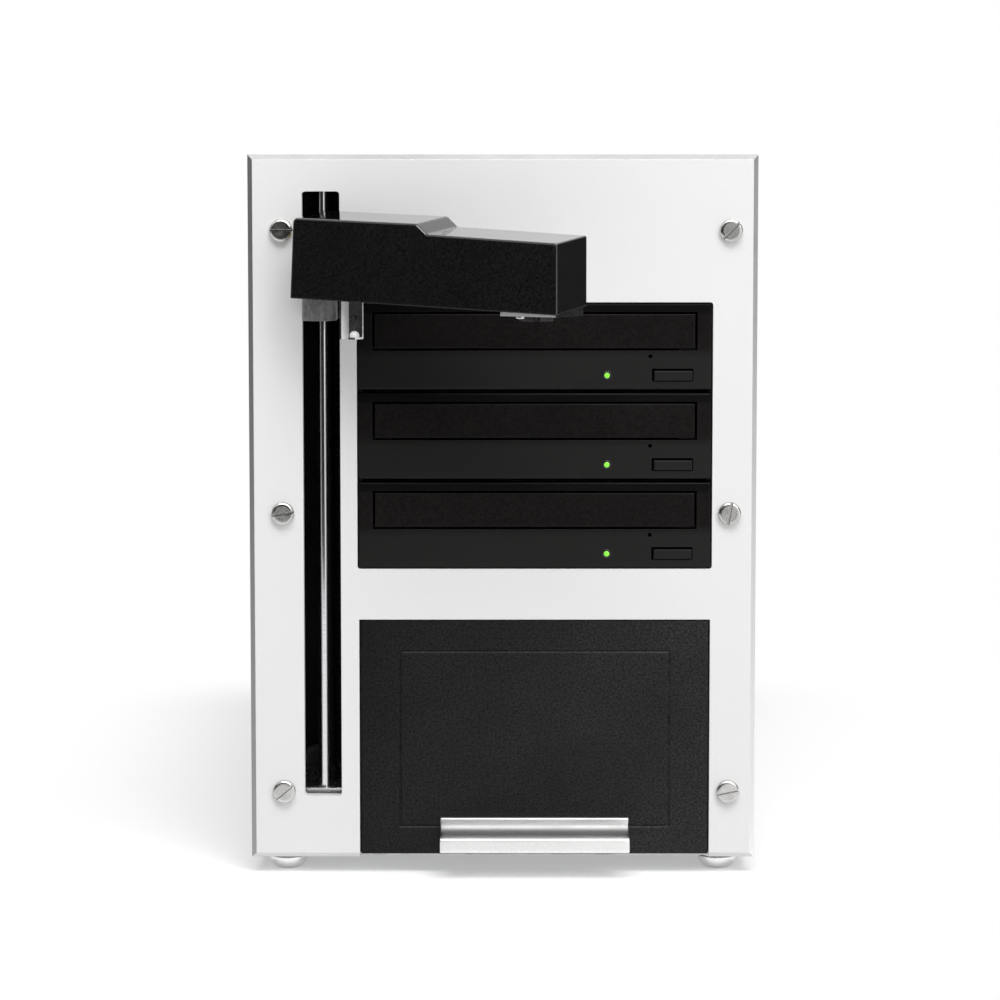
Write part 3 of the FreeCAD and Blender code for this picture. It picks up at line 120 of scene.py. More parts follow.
def start_material(name, **sockets):
    """A new material with its main shader, whose sockets are set, and the Object coordinates."""
    material = bpy.data.materials.new(name)
    material.use_nodes = True
    tree = material.node_tree
    tree.nodes.clear()
    shader = add(tree, "BsdfPrincipled", **sockets)
    add(tree, "OutputMaterial", Surface=shader.outputs["BSDF"])
    return material, tree, shader, add(tree, "TexCoord").outputs["Object"]


print("node helpers ready")

# %% [markdown]
# The studio is a pale floor under a white room. The floor has to be white to the eye and still show
# the shadow of the feet, so it is ordinary pale paint that gives off a little light of its own, but
# only to the camera and to reflections. A hand's breadth from the machine it turns into the plain white
# of the room, so that no horizon shows. More lamps would do it too, and would bleach the panel.


# %% Floor
def only_seen(tree):
    """1 for rays from the camera, from reflections and through glass, and 0 for the light itself."""
    path = add(tree, "LightPath").outputs
    seen = reckon(tree, "MAXIMUM", path["Is Camera Ray"], path["Is Glossy Ray"])
    return reckon(tree, "MAXIMUM", seen, path["Is Transmission Ray"])


def mix_shaders(tree, factor, one, other, output):
    """The output goes from one shader to the other with the factor."""
    made = add(tree, "MixShader")
    for target, source in zip(made.inputs, (factor, one.outputs[0], other.outputs[0])):
        fill(tree, target, source)
    feed(tree, output, Surface=made.outputs[0])


footprint_middle, footprint_half, fade_width = (0, 0.04, 0), (0.107, 0.19, 0), 0.13
own_light, reach = 0.3, 12.0
floor_paint, tree, shader, place = start_material(
    "floor_paint", Roughness=0.9, Base_Color=(0.8, 0.8, 0.8, 1), Emission_Color=(1, 1, 1, 1))
feed(tree, shader, Emission_Strength=reckon(tree, "MULTIPLY", only_seen(tree), own_light))
away = place
for operation, *amount in (("SUBTRACT", footprint_middle), ("ABSOLUTE",), ("SUBTRACT", footprint_half),
                           ("MAXIMUM", (0, 0, 0)), ("LENGTH",)):
    away = reckon(tree, operation, away, *amount, kind="VectorMath")
fade = ramp(tree, away, 0.0, fade_width)
fade.node.interpolation_type = "SMOOTHSTEP"
white = add(tree, "Emission", Color=(1, 1, 1, 1), Strength=1.0)
faded = reckon(tree, "MULTIPLY", fade, only_seen(tree))
mix_shaders(tree, faded, shader, white, tree.nodes["Material Output"])
floor_mesh = bpy.data.meshes.new("floor")
floor_mesh.from_pydata([(-reach, -reach, 0), (reach, -reach, 0), (reach, reach, 0), (-reach, reach, 0)],
                       [], [(0, 1, 2, 3)])
floor_mesh.materials.append(floor_paint)
floor = bpy.data.objects.new("floor", floor_mesh)
bpy.context.scene.collection.objects.link(floor)
print("floor", 2 * reach, "m square")

# %% [markdown]
# The light in the photograph is soft and comes from above and a little from the right: the left edge
# of the panel is grey and its top edge is white. One large lamp over the right shoulder and one
# overhead do that, and the white room fills the rest. A narrow upright lamp on the right draws the
# bright lines along the rod and the folds of the arm.

# %% Room and lamps
room = bpy.data.worlds.new("white_room")
room.use_nodes = True
tree = room.node_tree
tree.nodes.clear()
felt = add(tree, "Background", Color=(1, 1, 1, 1), Strength=0.36)
seen = add(tree, "Background", Color=(1, 1, 1, 1), Strength=1.0)
mix_shaders(tree, only_seen(tree), felt, seen, add(tree, "OutputWorld"))
bpy.context.scene.world = room
bpy.context.scene.view_settings.view_transform = "Standard"


def softbox(name, spot, aim, width, height, watts):
    """A flat lamp at one point, turned to shine at another."""
    lamp = bpy.data.lights.new(name, "AREA")
    lamp.shape, lamp.size, lamp.size_y, lamp.energy = "RECTANGLE", width, height, watts
    holder = bpy.data.objects.new(name, lamp)
    holder.location = spot
    along = np.subtract(aim, spot)
    holder.rotation_euler = (math.acos(-along[2] / np.linalg.norm(along)), 0.0,
                             math.atan2(along[1], along[0]) - math.pi / 2)
    bpy.context.scene.collection.objects.link(holder)


softbox("key_lamp", (1.1, -1.9, 1.7), (0, -0.1, 0.15), 1.2, 1.2, 14)
softbox("top_lamp", (0.1, -1.15, 1.9), (0, -0.1, 0.25), 1.6, 0.9, 30)
softbox("strip_lamp", (1.5, -1.75, 0.75), (0, -0.15, 0.2), 0.25, 1.4, 3)

# %% [markdown]
# Black paint and bare metal show what stands in front of them. In the photograph the upper screws and the
# arm look into the dark half of the room, the lower screws look at the pale floor, and the left rim of the
# panel looks at something grey. Cards give them that: a dark one in front, bent round to the left
# and open on the right, a grey one close by on the left, a grey one on the right, and a dark one beyond it
# for the end of the arm. It could be painted into the materials, but then it would not move as the arm
# turns.


# %% Cards for the reflections
def card(name, turns, low, high, tone):
    """An upright card that follows the turns on the floor, seen by reflections alone."""
    mesh = bpy.data.meshes.new(name)
    turns = np.array(turns, float)
    foot, head = np.insert(turns, 2, low, axis=1), np.insert(turns, 2, high, axis=1)
    n = np.arange(len(turns) - 1)
    mesh.from_pydata(np.concatenate([foot, head]).tolist(), [],
                     np.stack([n, n + 1, n + 1 + len(turns), n + len(turns)], -1).tolist())
    mesh.materials.append(start_material(name + "_felt", Base_Color=(tone, tone, tone, 1), Roughness=0.95)[0])
    made = bpy.data.objects.new(name, mesh)
    made.visible_camera = made.visible_shadow = made.visible_diffuse = False
    bpy.context.scene.collection.objects.link(made)
    print(name, len(mesh.polygons), "flats")


card("dark_card", [(0.18, -1.0), (-1.2, -1.0), (-1.8, -0.4), (-1.8, 1.0)], 0.0, 0.9, 0.03)
card("left_card", [(-1.0, -0.45), (-1.0, 0.6)], 0.0, 0.8, 0.35)
card("right_card", [(3.0, 0.7), (3.0, -1.2)], 0.0, 1.6, 0.14)
card("far_dark_card", [(1.75, 0.1), (0.9, 1.6)], 0.0, 1.2, 0.03)

# %% [markdown]
# Four effects come back in many finishes, so each is a node group. Soft blotches are the slow changes
# of tone in any real paint or plating: a cloudy noise, made harder, and carried over to the range asked for.


# %% Shared effect: soft blotches
def start_group(name, inputs, outputs):
    """An empty node group with its named inputs (name, kind, value) and outputs (name, kind)."""
    tree = bpy.data.node_groups.new(name, "ShaderNodeTree")
    for label, kind, value in inputs:
        socket = tree.interface.new_socket(label, in_out="INPUT", socket_type="NodeSocket" + kind)
        if value is not None:
            socket.default_value = value
    for label, kind in outputs:
        tree.interface.new_socket(label, in_out="OUTPUT", socket_type="NodeSocket" + kind)
    return tree, tree.nodes.new("NodeGroupInput").outputs, tree.nodes.new("NodeGroupOutput").inputs


def noise(tree, vector, scale, **sockets):
    """A noise from 0 to 1 over those coordinates, at that scale."""
    return add(tree, "TexNoise", Vector=vector, Scale=scale, **sockets).outputs["Fac"]


soft_blotches, given, wanted = start_group(
    "soft_blotches",
    [("Vector", "Vector", None), ("Scale", "Float", 20.0), ("Low", "Float", 0.0), ("High", "Float", 1.0)],
    [("Value", "Float")])
cloud = noise(soft_blotches, given["Vector"], given["Scale"], Detail=4.0, Roughness=0.6)
harder = ramp(soft_blotches, cloud, 0.3, 0.7)
fill(soft_blotches, wanted["Value"], ramp(soft_blotches, harder, 0.0, 1.0, given["Low"], given["High"]))
print("group", soft_blotches.name)

# %% [markdown]
# Fine grain is the tooth of powder paint and moulded plastic: one noise, given out as a height for the bump
# and as specks for the colour.

# %% Shared effect: fine grain
fine_grain, given, wanted = start_group(
    "fine_grain", [("Vector", "Vector", None), ("Scale", "Float", 900.0)],
    [("Height", "Float"), ("Specks", "Float")])
tooth = noise(fine_grain, given["Vector"], given["Scale"], Detail=3.0, Roughness=0.7)
fill(fine_grain, wanted["Height"], tooth)
fill(fine_grain, wanted["Specks"], ramp(fine_grain, tooth, 0.35, 0.65))
print("group", fine_grain.name)

# %% [markdown]
# Drawn lines are the marks of rolling, brushing or drawing a metal: a noise over coordinates that are
# stretched along the lines and packed tight across them.

# %% Shared effect: drawn lines
drawn_lines, given, wanted = start_group(
    "drawn_lines", [("Vector", "Vector", None), ("Across", "Vector", (2000.0, 2000.0, 20.0))],
    [("Height", "Float"), ("Value", "Float")])
stretched = reckon(drawn_lines, "MULTIPLY", given["Vector"], given["Across"], kind="VectorMath")
lines = noise(drawn_lines, stretched, 1.0, Detail=3.0, Roughness=0.6)
fill(drawn_lines, wanted["Height"], lines)
fill(drawn_lines, wanted["Value"], ramp(drawn_lines, lines, 0.3, 0.7))
print("group", drawn_lines.name)

# %% [markdown]
# The edge catch finds the sharp edges of a piece, where paint thins and light catches. A Bevel node rounds
# the surface's direction near an edge, and where that leaves the flat direction there is an edge.

# %% Shared effect: edge catch
edge_catch, given, wanted = start_group(
    "edge_catch",
    [("Vector", "Vector", None), ("Radius", "Float", 0.0006), ("Patchiness", "Float", 60.0)],
    [("Mask", "Float"), ("Normal", "Vector")])
rounded = add(edge_catch, "Bevel", Radius=given["Radius"])
rounded.samples = 4
flat = add(edge_catch, "NewGeometry").outputs["Normal"]
agreement = reckon(edge_catch, "DOT_PRODUCT", rounded.outputs["Normal"], flat, kind="VectorMath")
patches = noise(edge_catch, given["Vector"], given["Patchiness"], Detail=4.0)
worn = reckon(edge_catch, "MULTIPLY", ramp(edge_catch, agreement, 0.99, 0.8),
              ramp(edge_catch, patches, 0.35, 0.65, 0.3, 1.0))
fill(edge_catch, wanted["Mask"], worn)
fill(edge_catch, wanted["Normal"], rounded.outputs["Normal"])
print("group", edge_catch.name)

# %% [markdown]
# Most finishes of this machine are one recipe with other numbers: a colour that drifts a little, a
# gloss that drifts with it, a fine tooth, and edges where the finish thins. So one helper mixes them
# from the shared effects, and each finish below is a line of its own numbers.


# %% Helper for a coated or plated finish
def place_group(tree, group, vector, **sockets):
    """That group as a node of a material, reading those coordinates."""
    made = add(tree, "Group")
    made.node_tree = group
    feed(tree, made, Vector=vector, **sockets)
    return made.outputs


def mix_colours(tree, factor, one, other):
    """A colour that goes from one to the other with the factor; each is a colour, a grey or a socket."""
    made = add(tree, "Mix")
    made.data_type = "RGBA"
    fill(tree, made.inputs[0], factor)
    for target, value in zip(made.inputs[6:8], (one, other)):
        if isinstance(value, float):
            value = (value, value, value)
        fill(tree, target, (*value, 1.0) if isinstance(value, tuple) else value)
    return made.outputs[2]


def bumped(tree, shader, height, depth, **normal):
    """A bump of that depth, in metres, on the shader, over a Normal of its own where one is given."""
    bump = add(tree, "Bump", Strength=1.0, Distance=depth, Height=height, **normal)
    feed(tree, shader, Normal=bump.outputs["Normal"])


def coated(name, tone, drift, gloss, blotch, grain, depth, edge, wear=0.5, round_by=0.5, **sockets):
    """A finish whose colour runs from tone to drift and whose roughness runs over gloss, both in
    blotches of that scale, with a grain of that scale and depth in metres, and a worn edge colour."""
    material, tree, shader, place = start_material(name, **sockets)
    slow = place_group(tree, soft_blotches, place, Scale=blotch, Low=0.0, High=0.55)
    tooth = place_group(tree, fine_grain, place, Scale=grain)
    rim = place_group(tree, edge_catch, place, Radius=round_by * MM)
    specked = mix_colours(tree, tooth["Specks"], tone, drift)
    colour = mix_colours(tree, slow["Value"], specked, tone)
    colour = mix_colours(tree, reckon(tree, "MULTIPLY", rim["Mask"], wear), colour, edge)
    gloss_drift = place_group(tree, soft_blotches, place, Scale=blotch * 1.7, Low=gloss[0], High=gloss[1])
    feed(tree, shader, Base_Color=colour, Roughness=gloss_drift["Value"])
    bumped(tree, shader, tooth["Height"], depth, Normal=rim["Normal"])
    return material


finishes = {}
print("coated finish helper ready")

# %% [markdown]
# The front panel is thick aluminium with smooth white paint, and the cover behind it is sheet with a
# toothier powder coat. They could share one white, but the panel is flatter and glossier.

# %% White paints
finishes["panel_white"] = coated(
    "panel_paint", 0.80, (0.765, 0.765, 0.77), (0.34, 0.46), 14, 1400, 0.00003,
    edge=0.86, wear=0.6, round_by=0.4)
finishes["cover_white"] = coated(
    "cover_paint", (0.74, 0.74, 0.73), (0.68, 0.68, 0.675), (0.45, 0.6), 11, 650, 0.00012,
    edge=(0.82, 0.82, 0.81))
print("white paints", len(finishes))

# %% [markdown]
# The blacks are different things: fine paint on the drive faces, a leathery coat on the drawer, gloss
# paint under clear lacquer on the arm, moulded plastic, and black oxide on steel. Their tones are close, so
# gloss and grain tell them apart.

# %% Black finishes
finishes["drive_black"] = coated(
    "drive_face_black", (0.0026, 0.0018, 0.0016), (0.0105, 0.0092, 0.0086), (0.34, 0.46), 16, 900, 0.00002,
    edge=(0.03, 0.028, 0.027), round_by=0.35, Specular_IOR_Level=0.12)
finishes["drawer_black"] = coated(
    "drawer_coat", 0.0010, (0.0180, 0.0180, 0.0182), (0.38, 0.52), 12, 1150, 0.0001,
    edge=0.04, wear=0.6, round_by=0.35, Specular_IOR_Level=0.15)
finishes["arm_black"] = coated(
    "arm_gloss_paint", (0.0008, 0.0008, 0.0009), (0.0165, 0.0165, 0.0167), (0.05, 0.09), 8, 1300, 0.000003,
    edge=0.03, round_by=0.8, Specular_IOR_Level=0.3, Coat_Weight=1.0, Coat_Roughness=0.02, Coat_IOR=1.5)
finishes["black_plastic"] = coated(
    "moulded_black", (0.018, 0.018, 0.019), (0.028, 0.028, 0.029), (0.42, 0.58), 22, 1000, 0.00006, edge=0.05)
finishes["gloss_black"] = coated(
    "switch_black", (0.014, 0.014, 0.015), 0.02, (0.12, 0.22), 30, 500, 0.00001, edge=0.04)
finishes["column_black"] = coated(
    "column_black_oxide", (0.012, 0.012, 0.013), (0.022, 0.021, 0.021), (0.5, 0.65), 15, 700, 0.00008,
    edge=0.09, wear=0.6)
print("finishes so far", len(finishes))

# %% [markdown]
# On each drive the strip under the tray door is painted a little paler and less brown than the door, less so
# at its left end: a painted sheen, as if the strip caught light from the floor. The rim over the door is
# darker. The three drives are alike and stand at an even pitch, so the height within one pitch says where
# the strip and the rim are.


# %% Painted sheen on the strip, and darker rim, of the drive faces
def reopen(material):
    """A finish to work on further: its tree, its shader, its coordinates and its colour so far."""
    tree = material.node_tree
    shader = tree.nodes["Principled BSDF"]
    return (tree, shader, tree.nodes["Texture Coordinate"].outputs,
            shader.inputs["Base Color"].links[0].from_socket)


def parts_of(tree, vector):
    """The X, Y and Z of a vector."""
    return add(tree, "SeparateXYZ", Vector=vector).outputs


def box_of(node):
    """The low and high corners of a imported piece, in millimetres."""
    return [np.round(np.array(corner) / MM, 4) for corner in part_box(node)]


drive_left, drive_front, drive_foot = box_of("drive_3_face")[0]
drive_pitch, strip_start = box_of("drive_2_face")[0][2] - drive_foot, -10
tree, shader, place, brown = reopen(finishes["drive_black"])
spot = parts_of(tree, place["Object"])
pitches = ramp(tree, spot["Z"], drive_foot * MM, (drive_foot + drive_pitch) * MM)
pitches.node.clamp = False
within = reckon(tree, "FRACT", pitches)
painted_sheen_under_door, over_door = ramp(tree, within, 0.36, 0.47, 1.0, 0.0), ramp(tree, within, 0.84, 0.87)
painted_sheen_sideways = ramp(tree, spot["X"], drive_left * MM, strip_start * MM, 0.75, 1.0)
# Painted sheen: the strip under the door goes paler, less so at the left end.
brown = mix_colours(tree, reckon(tree, "MULTIPLY", painted_sheen_under_door, painted_sheen_sideways), brown, (0.0142, 0.0136, 0.0132))
feed(tree, shader, Base_Color=mix_colours(tree, over_door, brown, (0.0012, 0.0009, 0.0009)))
print("strip on", finishes["drive_black"].name)

# %% [markdown]
# The drawer is paler to the right in the photograph, where more light falls. That light is painted: the
# one colour of the coat is scaled up slowly across the drawer.

# %% Painted light on the right side of the drawer
painted_light_left, painted_light_right = -60, 87
tree, shader, place, black = reopen(finishes["drawer_black"])
# Painted light: the coat's colour is scaled up from left to right.
across = ramp(tree, parts_of(tree, place["Object"])["X"], painted_light_left * MM, painted_light_right * MM, 0.9, 2.6)
feed(tree, shader, Base_Color=reckon(tree, "MULTIPLY", black, across, kind="VectorMath"))
print("slow change on", finishes["drawer_black"].name)

# %% [markdown]
# The metals differ in how they were worked. The handle and the feet are blasted and anodised, so they
# have a fine even tooth. Castings are mottled. Brass and nickel are smoother and glossier.

# %% Metals with an even tooth
finishes["handle_aluminium"] = coated(
    "blasted_aluminium", (0.94, 0.935, 0.93), (0.82, 0.815, 0.81), (0.42, 0.5), 30, 1100, 0.00005,
    edge=(0.92, 0.92, 0.91), wear=0.7, round_by=0.4, Metallic=1.0)
finishes["foot_silver"] = coated(
    "turned_silver", (0.86, 0.855, 0.85), (0.76, 0.755, 0.75), (0.16, 0.26), 40, 1200, 0.00003,
    edge=(0.8, 0.8, 0.79), wear=0.6, Metallic=1.0)
finishes["cast_grey"] = coated(
    "cast_zinc", (0.30, 0.30, 0.305), (0.17, 0.17, 0.175), (0.42, 0.6), 120, 420, 0.00015,
    edge=0.55, wear=0.7, Metallic=0.75)
finishes["brass"] = coated(
    "cut_brass", (0.62, 0.46, 0.20), (0.50, 0.35, 0.14), (0.22, 0.36), 60, 900, 0.00003,
    edge=(0.78, 0.62, 0.34), wear=0.7, Metallic=1.0)
finishes["nickel"] = coated(
    "nickel_plate", (0.66, 0.65, 0.63), (0.56, 0.55, 0.53), (0.2, 0.32), 90, 1100, 0.00002,
    edge=(0.8, 0.79, 0.77), wear=0.6, Metallic=1.0)
finishes["bright_aluminium"] = coated(
    "bright_sheet", (0.74, 0.74, 0.73), (0.62, 0.62, 0.61), (0.2, 0.34), 70, 1000, 0.00003,
    edge=(0.88, 0.88, 0.87), wear=0.7, round_by=0.3, Metallic=1.0)
print("finishes so far", len(finishes))

# %% [markdown]
# Zinc-plated sheet shows crystals: flat patches with their own tone and gloss. A noise would only make
# clouds, so the cells of a Voronoi pattern set the tone, and soft blotches take some of the contrast away.

# %% Zinc-plated sheet
material, tree, shader, place = start_material("zinc_sheet", Metallic=1.0)
crystals = add(tree, "TexVoronoi", Scale=140.0, Vector=place)
split = add(tree, "SeparateColor", Color=crystals.outputs["Color"]).outputs
tone = mix_colours(tree, split[0], (0.47, 0.48, 0.49), (0.60, 0.61, 0.62))
clouds = place_group(tree, soft_blotches, place, Scale=24)
feed(tree, shader, Base_Color=mix_colours(tree, clouds["Value"], tone, (0.53, 0.535, 0.54)),
     Roughness=ramp(tree, split[1], 0.0, 1.0, 0.3, 0.5))
bumped(tree, shader, place_group(tree, fine_grain, place, Scale=600)["Height"], 0.00002)
finishes["sheet_steel"] = material
print("finish", material.name)

# %% [markdown]
# The guide rods are ground and chromed: nearly a mirror, with faint rings from the grinding wheel. The
# drawn lines run round the rod, so they are stretched level and packed tight along its height.

# %% Chromed rod
material, tree, shader, place = start_material("ground_chrome", Metallic=1.0)
rings = place_group(tree, drawn_lines, place, Across=(60.0, 60.0, 5200.0))
feed(tree, shader, Base_Color=mix_colours(tree, rings["Value"], (0.80, 0.80, 0.81), (0.70, 0.70, 0.71)),
     Roughness=ramp(tree, rings["Value"], 0.0, 1.0, 0.07, 0.15))
bumped(tree, shader, rings["Height"], 0.000004)
finishes["rod_chrome"] = material
print("finish", material.name)

# %% [markdown]
# The last plain finishes: grey moulded trays, the green lacquer of the circuit board with its copper
# lines showing through, and the ribbed rubber of the lift belt.

# %% Trays, board and belt
finishes["tray_grey"] = coated(
    "tray_plastic", (0.055, 0.055, 0.058), (0.072, 0.072, 0.075), (0.38, 0.5), 20, 1000, 0.00004, edge=0.12)

material, tree, shader, place = start_material("board_lacquer", Coat_Weight=0.5)
tracks = add(tree, "TexBrick", Scale=170.0, Mortar_Size=0.012, Brick_Width=1.6, Row_Height=0.4,
             Color1=(0, 0, 0, 1), Color2=(0.25, 0.25, 0.25, 1), Mortar=(1, 1, 1, 1), Vector=place)
green = mix_colours(tree, tracks.outputs["Color"], (0.012, 0.085, 0.03), (0.05, 0.19, 0.07))
lacquer = place_group(tree, soft_blotches, place, Scale=40, Low=0.25, High=0.38)
feed(tree, shader, Base_Color=green, Roughness=lacquer["Value"])
finishes["board_green"] = material

material, tree, shader, place = start_material("belt_rubber")
teeth = add(tree, "TexWave", Scale=105.0, Distortion=0.0, Vector=place)
teeth.bands_direction = "Z"
rubber = place_group(tree, soft_blotches, place, Scale=60, Low=0.6, High=0.8)
feed(tree, shader, Base_Color=mix_colours(tree, teeth.outputs["Fac"], 0.010, 0.028),
     Roughness=rubber["Value"])
bumped(tree, shader, teeth.outputs["Fac"], 0.0004)
finishes["belt_rubber"] = material
print("finishes so far", len(finishes))

# %% [markdown]
# A status light is a small green lens with a lamp behind it. It glows only a little in a lit room, and
# not evenly, so the glow follows a slow pattern and its strength stays low.

# %% Status light
material, tree, shader, place = start_material("light_lens", Roughness=0.18, Emission_Strength=0.55)
lamp_tone = place_group(tree, soft_blotches, place, Scale=700)
lit = mix_colours(tree, lamp_tone["Value"], (0.13, 0.62, 0.03), (0.30, 0.85, 0.07))
feed(tree, shader, Base_Color=lit, Emission_Color=lit)
finishes["light_green"] = material
print("finish", material.name)

# %% [markdown]
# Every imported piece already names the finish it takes, so the finishes go on by that name. Only the blocks
# at the ends of the rods are brighter than the other castings, since they are milled.


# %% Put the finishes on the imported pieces
def put_on(node, material):
    """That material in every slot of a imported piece."""
    for holder in nodes[node].material_slots:
        holder.material = material


slot_of_node = {row["node"]: row["material_slot"] for row in frame["record"]["subparts"]}
for name, slot in slot_of_node.items():
    put_on(name, finishes[slot])
put_on("rod_blocks", finishes["bright_aluminium"])
print("finishes on", len(slot_of_node), "pieces")

# %% [markdown]
# The front panel was painted flat and then had its rim cut at an angle, so the rim is bare metal: white
# on top and on the right, and grey and dull on the left. The grey on the left and the white on the right are
# painted shade and painted light, set by which way the rim faces; the top is a middle grey that looks white
# by what it reflects. The rim could be a piece of its own, but it is one block with the panel, so the
# material finds it instead, by the way its surface faces.

# %% Bare rim of the panel, with painted shade on the left and painted light on the right
tree, shader, place, painted = reopen(finishes["panel_white"])
facing = parts_of(tree, add(tree, "NewGeometry").outputs["Normal"])
rim = reckon(tree, "MULTIPLY", ramp(tree, facing["Y"], -0.92, -0.85), ramp(tree, facing["Y"], -0.3, -0.4))
# Painted shade and light: dark grey where the rim faces left, pale where it faces right.
bare = mix_colours(tree, ramp(tree, facing["X"], -0.6, 0.6), 0.38, 0.92)
bare = mix_colours(tree, ramp(tree, facing["Z"], 0.2, 0.5), bare, 0.46)
feed(tree, shader, Base_Color=mix_colours(tree, rim, painted, bare), Metallic=rim)
print("rim finish on", nodes["front_panel"].name)

# %% [markdown]
# Some bright sheets are painted on some sides. The sensor's bracket shows a white fold and a dark plate
# beside it, and the sheet under the arm's tip is pale along its front and black at its end. The housings of
# the drives are painted black in front, a painted shade that stands in for the dark inside the gaps round the
# tray doors, so that no metal shines through them. Separate pieces could do it, but each is one folded sheet,
# so a copy of the finish finds the side by the way it faces on the piece itself, which stays right as the
# arm swings.


# %% Sheets with painted sides
def painted_sides(node, sides):
    """The finish of that node, with a grey of its own where the surface faces each direction."""
    material = finishes[slot_of_node[node]].copy()
    material.name = node + "_finish"
    tree, shader, place, colour = reopen(material)
    bare = None
    for direction, grey in sides:
        toward = reckon(tree, "DOT_PRODUCT", place["Normal"], direction, kind="VectorMath")
        colour = mix_colours(tree, ramp(tree, toward, 0.6, 0.8), colour, grey)
        unpainted = ramp(tree, toward, 0.6, 0.8, 1.0, 0.0)
        bare = unpainted if bare is None else reckon(tree, "MINIMUM", bare, unpainted)
    feed(tree, shader, Base_Color=colour, Metallic=bare)
    put_on(node, material)
    print(material.name, "on", node)


arm_along, arm_across, arm_front = (0.866, -0.5, 0), (0.5, 0.866, 0), (-0.5, -0.866, 0)
painted_sides("sensor_bracket", [(arm_front, 0.035), (arm_along, 0.85)])
painted_sides("arm_frame", [(arm_along, 0.006), (arm_front, 0.5)])
# Painted shade: the fronts of the drive housings are black so that the gaps round the tray doors read dark.
for drive in (1, 2, 3):
    painted_sides(f"drive_{drive}_housing", [((0, -1, 0), 0.003)])

# %% [markdown]
# New pieces are surfaces worked out with numpy. A sheet is a grid of points, made by a formula of two
# numbers or by carrying a profile along a path. One helper turns sheets into a piece: it numbers the
# corners of every square of the grid, merges points that fall together, so that seams and poles
# close, and drops the squares that vanish there.


# %% Helper for surfaces
def squares(rows, columns, first, round_rows, round_columns):
    """Corner numbers of every square of a grid: each point, its right neighbour, the one above that,
    and the one above itself, going round where the grid closes on itself."""
    i, j = np.meshgrid(np.arange(rows if round_rows else rows - 1),
                       np.arange(columns if round_columns else columns - 1), indexing="ij")
    i2, j2 = (i + 1) % rows, (j + 1) % columns
    corners = np.stack([i * columns + j, i * columns + j2, i2 * columns + j2, i2 * columns + j], -1)
    return corners.reshape(-1, 4) + first


def surface_piece(name, sheets, finish, body, replaces=(), crease=30, values=None):
    """A piece made of sheets, each (points as rows, columns, 3; closes in rows; closes in columns), in
    millimetres. values are one number a point, kept as the attribute trace for the finish to read."""
    points, corners, first = [], [], 0
    for grid, round_rows, round_columns in sheets:
        rows, columns = grid.shape[:2]
        corners.append(squares(rows, columns, first, round_rows, round_columns))
        points.append(grid.reshape(-1, 3))
        first += rows * columns
    points, corners = np.concatenate(points), np.concatenate(corners)
    _, keep, number = np.unique(np.round(points, 4), axis=0, return_index=True, return_inverse=True)
    corners = number.reshape(-1)[corners]
    same = corners == np.roll(corners, -1, axis=1)
    whole = corners[~same.any(1)]
    whole = whole[(whole[:, 0] != whole[:, 2]) & (whole[:, 1] != whole[:, 3])]
    pinched = corners[same.sum(1) == 1]
    where = np.argmax(same[same.sum(1) == 1], axis=1)
    three = np.stack([pinched[np.arange(len(pinched)), (where + k) % 4] for k in (1, 2, 3)], -1)
    mesh = bpy.data.meshes.new(name)
    mesh.from_pydata((points[keep] * MM).tolist(), [], whole.tolist() + three.tolist())
    if values is not None:
        mark = mesh.attributes.new("trace", "FLOAT", "POINT")
        mark.data.foreach_set("value", values[keep].astype(np.float32))
    mesh.polygons.foreach_set("use_smooth", np.ones(len(mesh.polygons), bool))
    mesh.set_sharp_from_angle(angle=math.radians(crease))
    mesh.materials.append(finishes[finish])
    piece = bpy.data.objects.new(name, mesh)
    bpy.context.scene.collection.objects.link(piece)
    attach(piece, body)
    if replaces:
        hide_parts(*replaces)
    print(name, len(mesh.vertices), "points", len(mesh.polygons), "faces")


def set_out(local, origin, along, across, out):
    """Local points carried to their place: origin plus each number times its own direction."""
    return (np.asarray(origin, float) + local[..., 0:1] * np.asarray(along, float)
            + local[..., 1:2] * np.asarray(across, float) + local[..., 2:3] * np.asarray(out, float))


print("surface helpers ready")

# %% [markdown]
# Six slotted screws hold the panel. A head could be turned on a lathe and the slot cut out of it, but a
# cut leaves ragged triangles. Here the head is drawn in chords that run along the slot: one number goes
# along a chord, the other steps from chord to chord, and the chords between the slot's walls lie lower.


# %% Helper for slotted heads
def slotted_head(radius, rise, slot_width, slot_depth, round_by):
    """Sheets of one head in its own frame: along the slot, across it, and out. The height is the flat top,
    less a quarter circle near the rim, less the slot's depth between its sloping walls; then a wall goes
    down from the rim to a flat underside."""
    half, sunk_by = slot_width / 2, 0.2
    side = radius * np.sin(np.linspace(0, math.pi / 2, 12))
    side = np.concatenate([[half, half + 0.02], side[side > half + 0.1]])
    inner = np.linspace(-0.6 * half, 0.6 * half, 3)
    across = np.concatenate([-side[::-1], inner, side])
    sunk = np.concatenate([np.zeros(len(side), bool), np.ones(3, bool), np.zeros(len(side), bool)])
    step = np.sin(np.linspace(-math.pi / 2, math.pi / 2, 25))
    t, s = np.meshgrid(across, step, indexing="ij")
    chord = s * np.sqrt(np.clip(radius ** 2 - t ** 2, 0, None))
    away = np.hypot(chord, t)
    into = np.clip(away - (radius - round_by), 0, round_by)
    height = rise - round_by + np.sqrt(np.clip(round_by ** 2 - into ** 2, 0, None))
    height = np.where(sunk[:, None], np.minimum(height, rise - slot_depth), height)
    top = np.stack([chord, t, height], -1)
    rim = np.concatenate([top[::-1, -1], top[:, 0]])
    foot = rim * (1, 1, 0) - (0, 0, sunk_by)
    wall = np.stack([rim, foot, np.broadcast_to((0, 0, -sunk_by), foot.shape)])
    return [(top, False, False), (wall, False, True)]


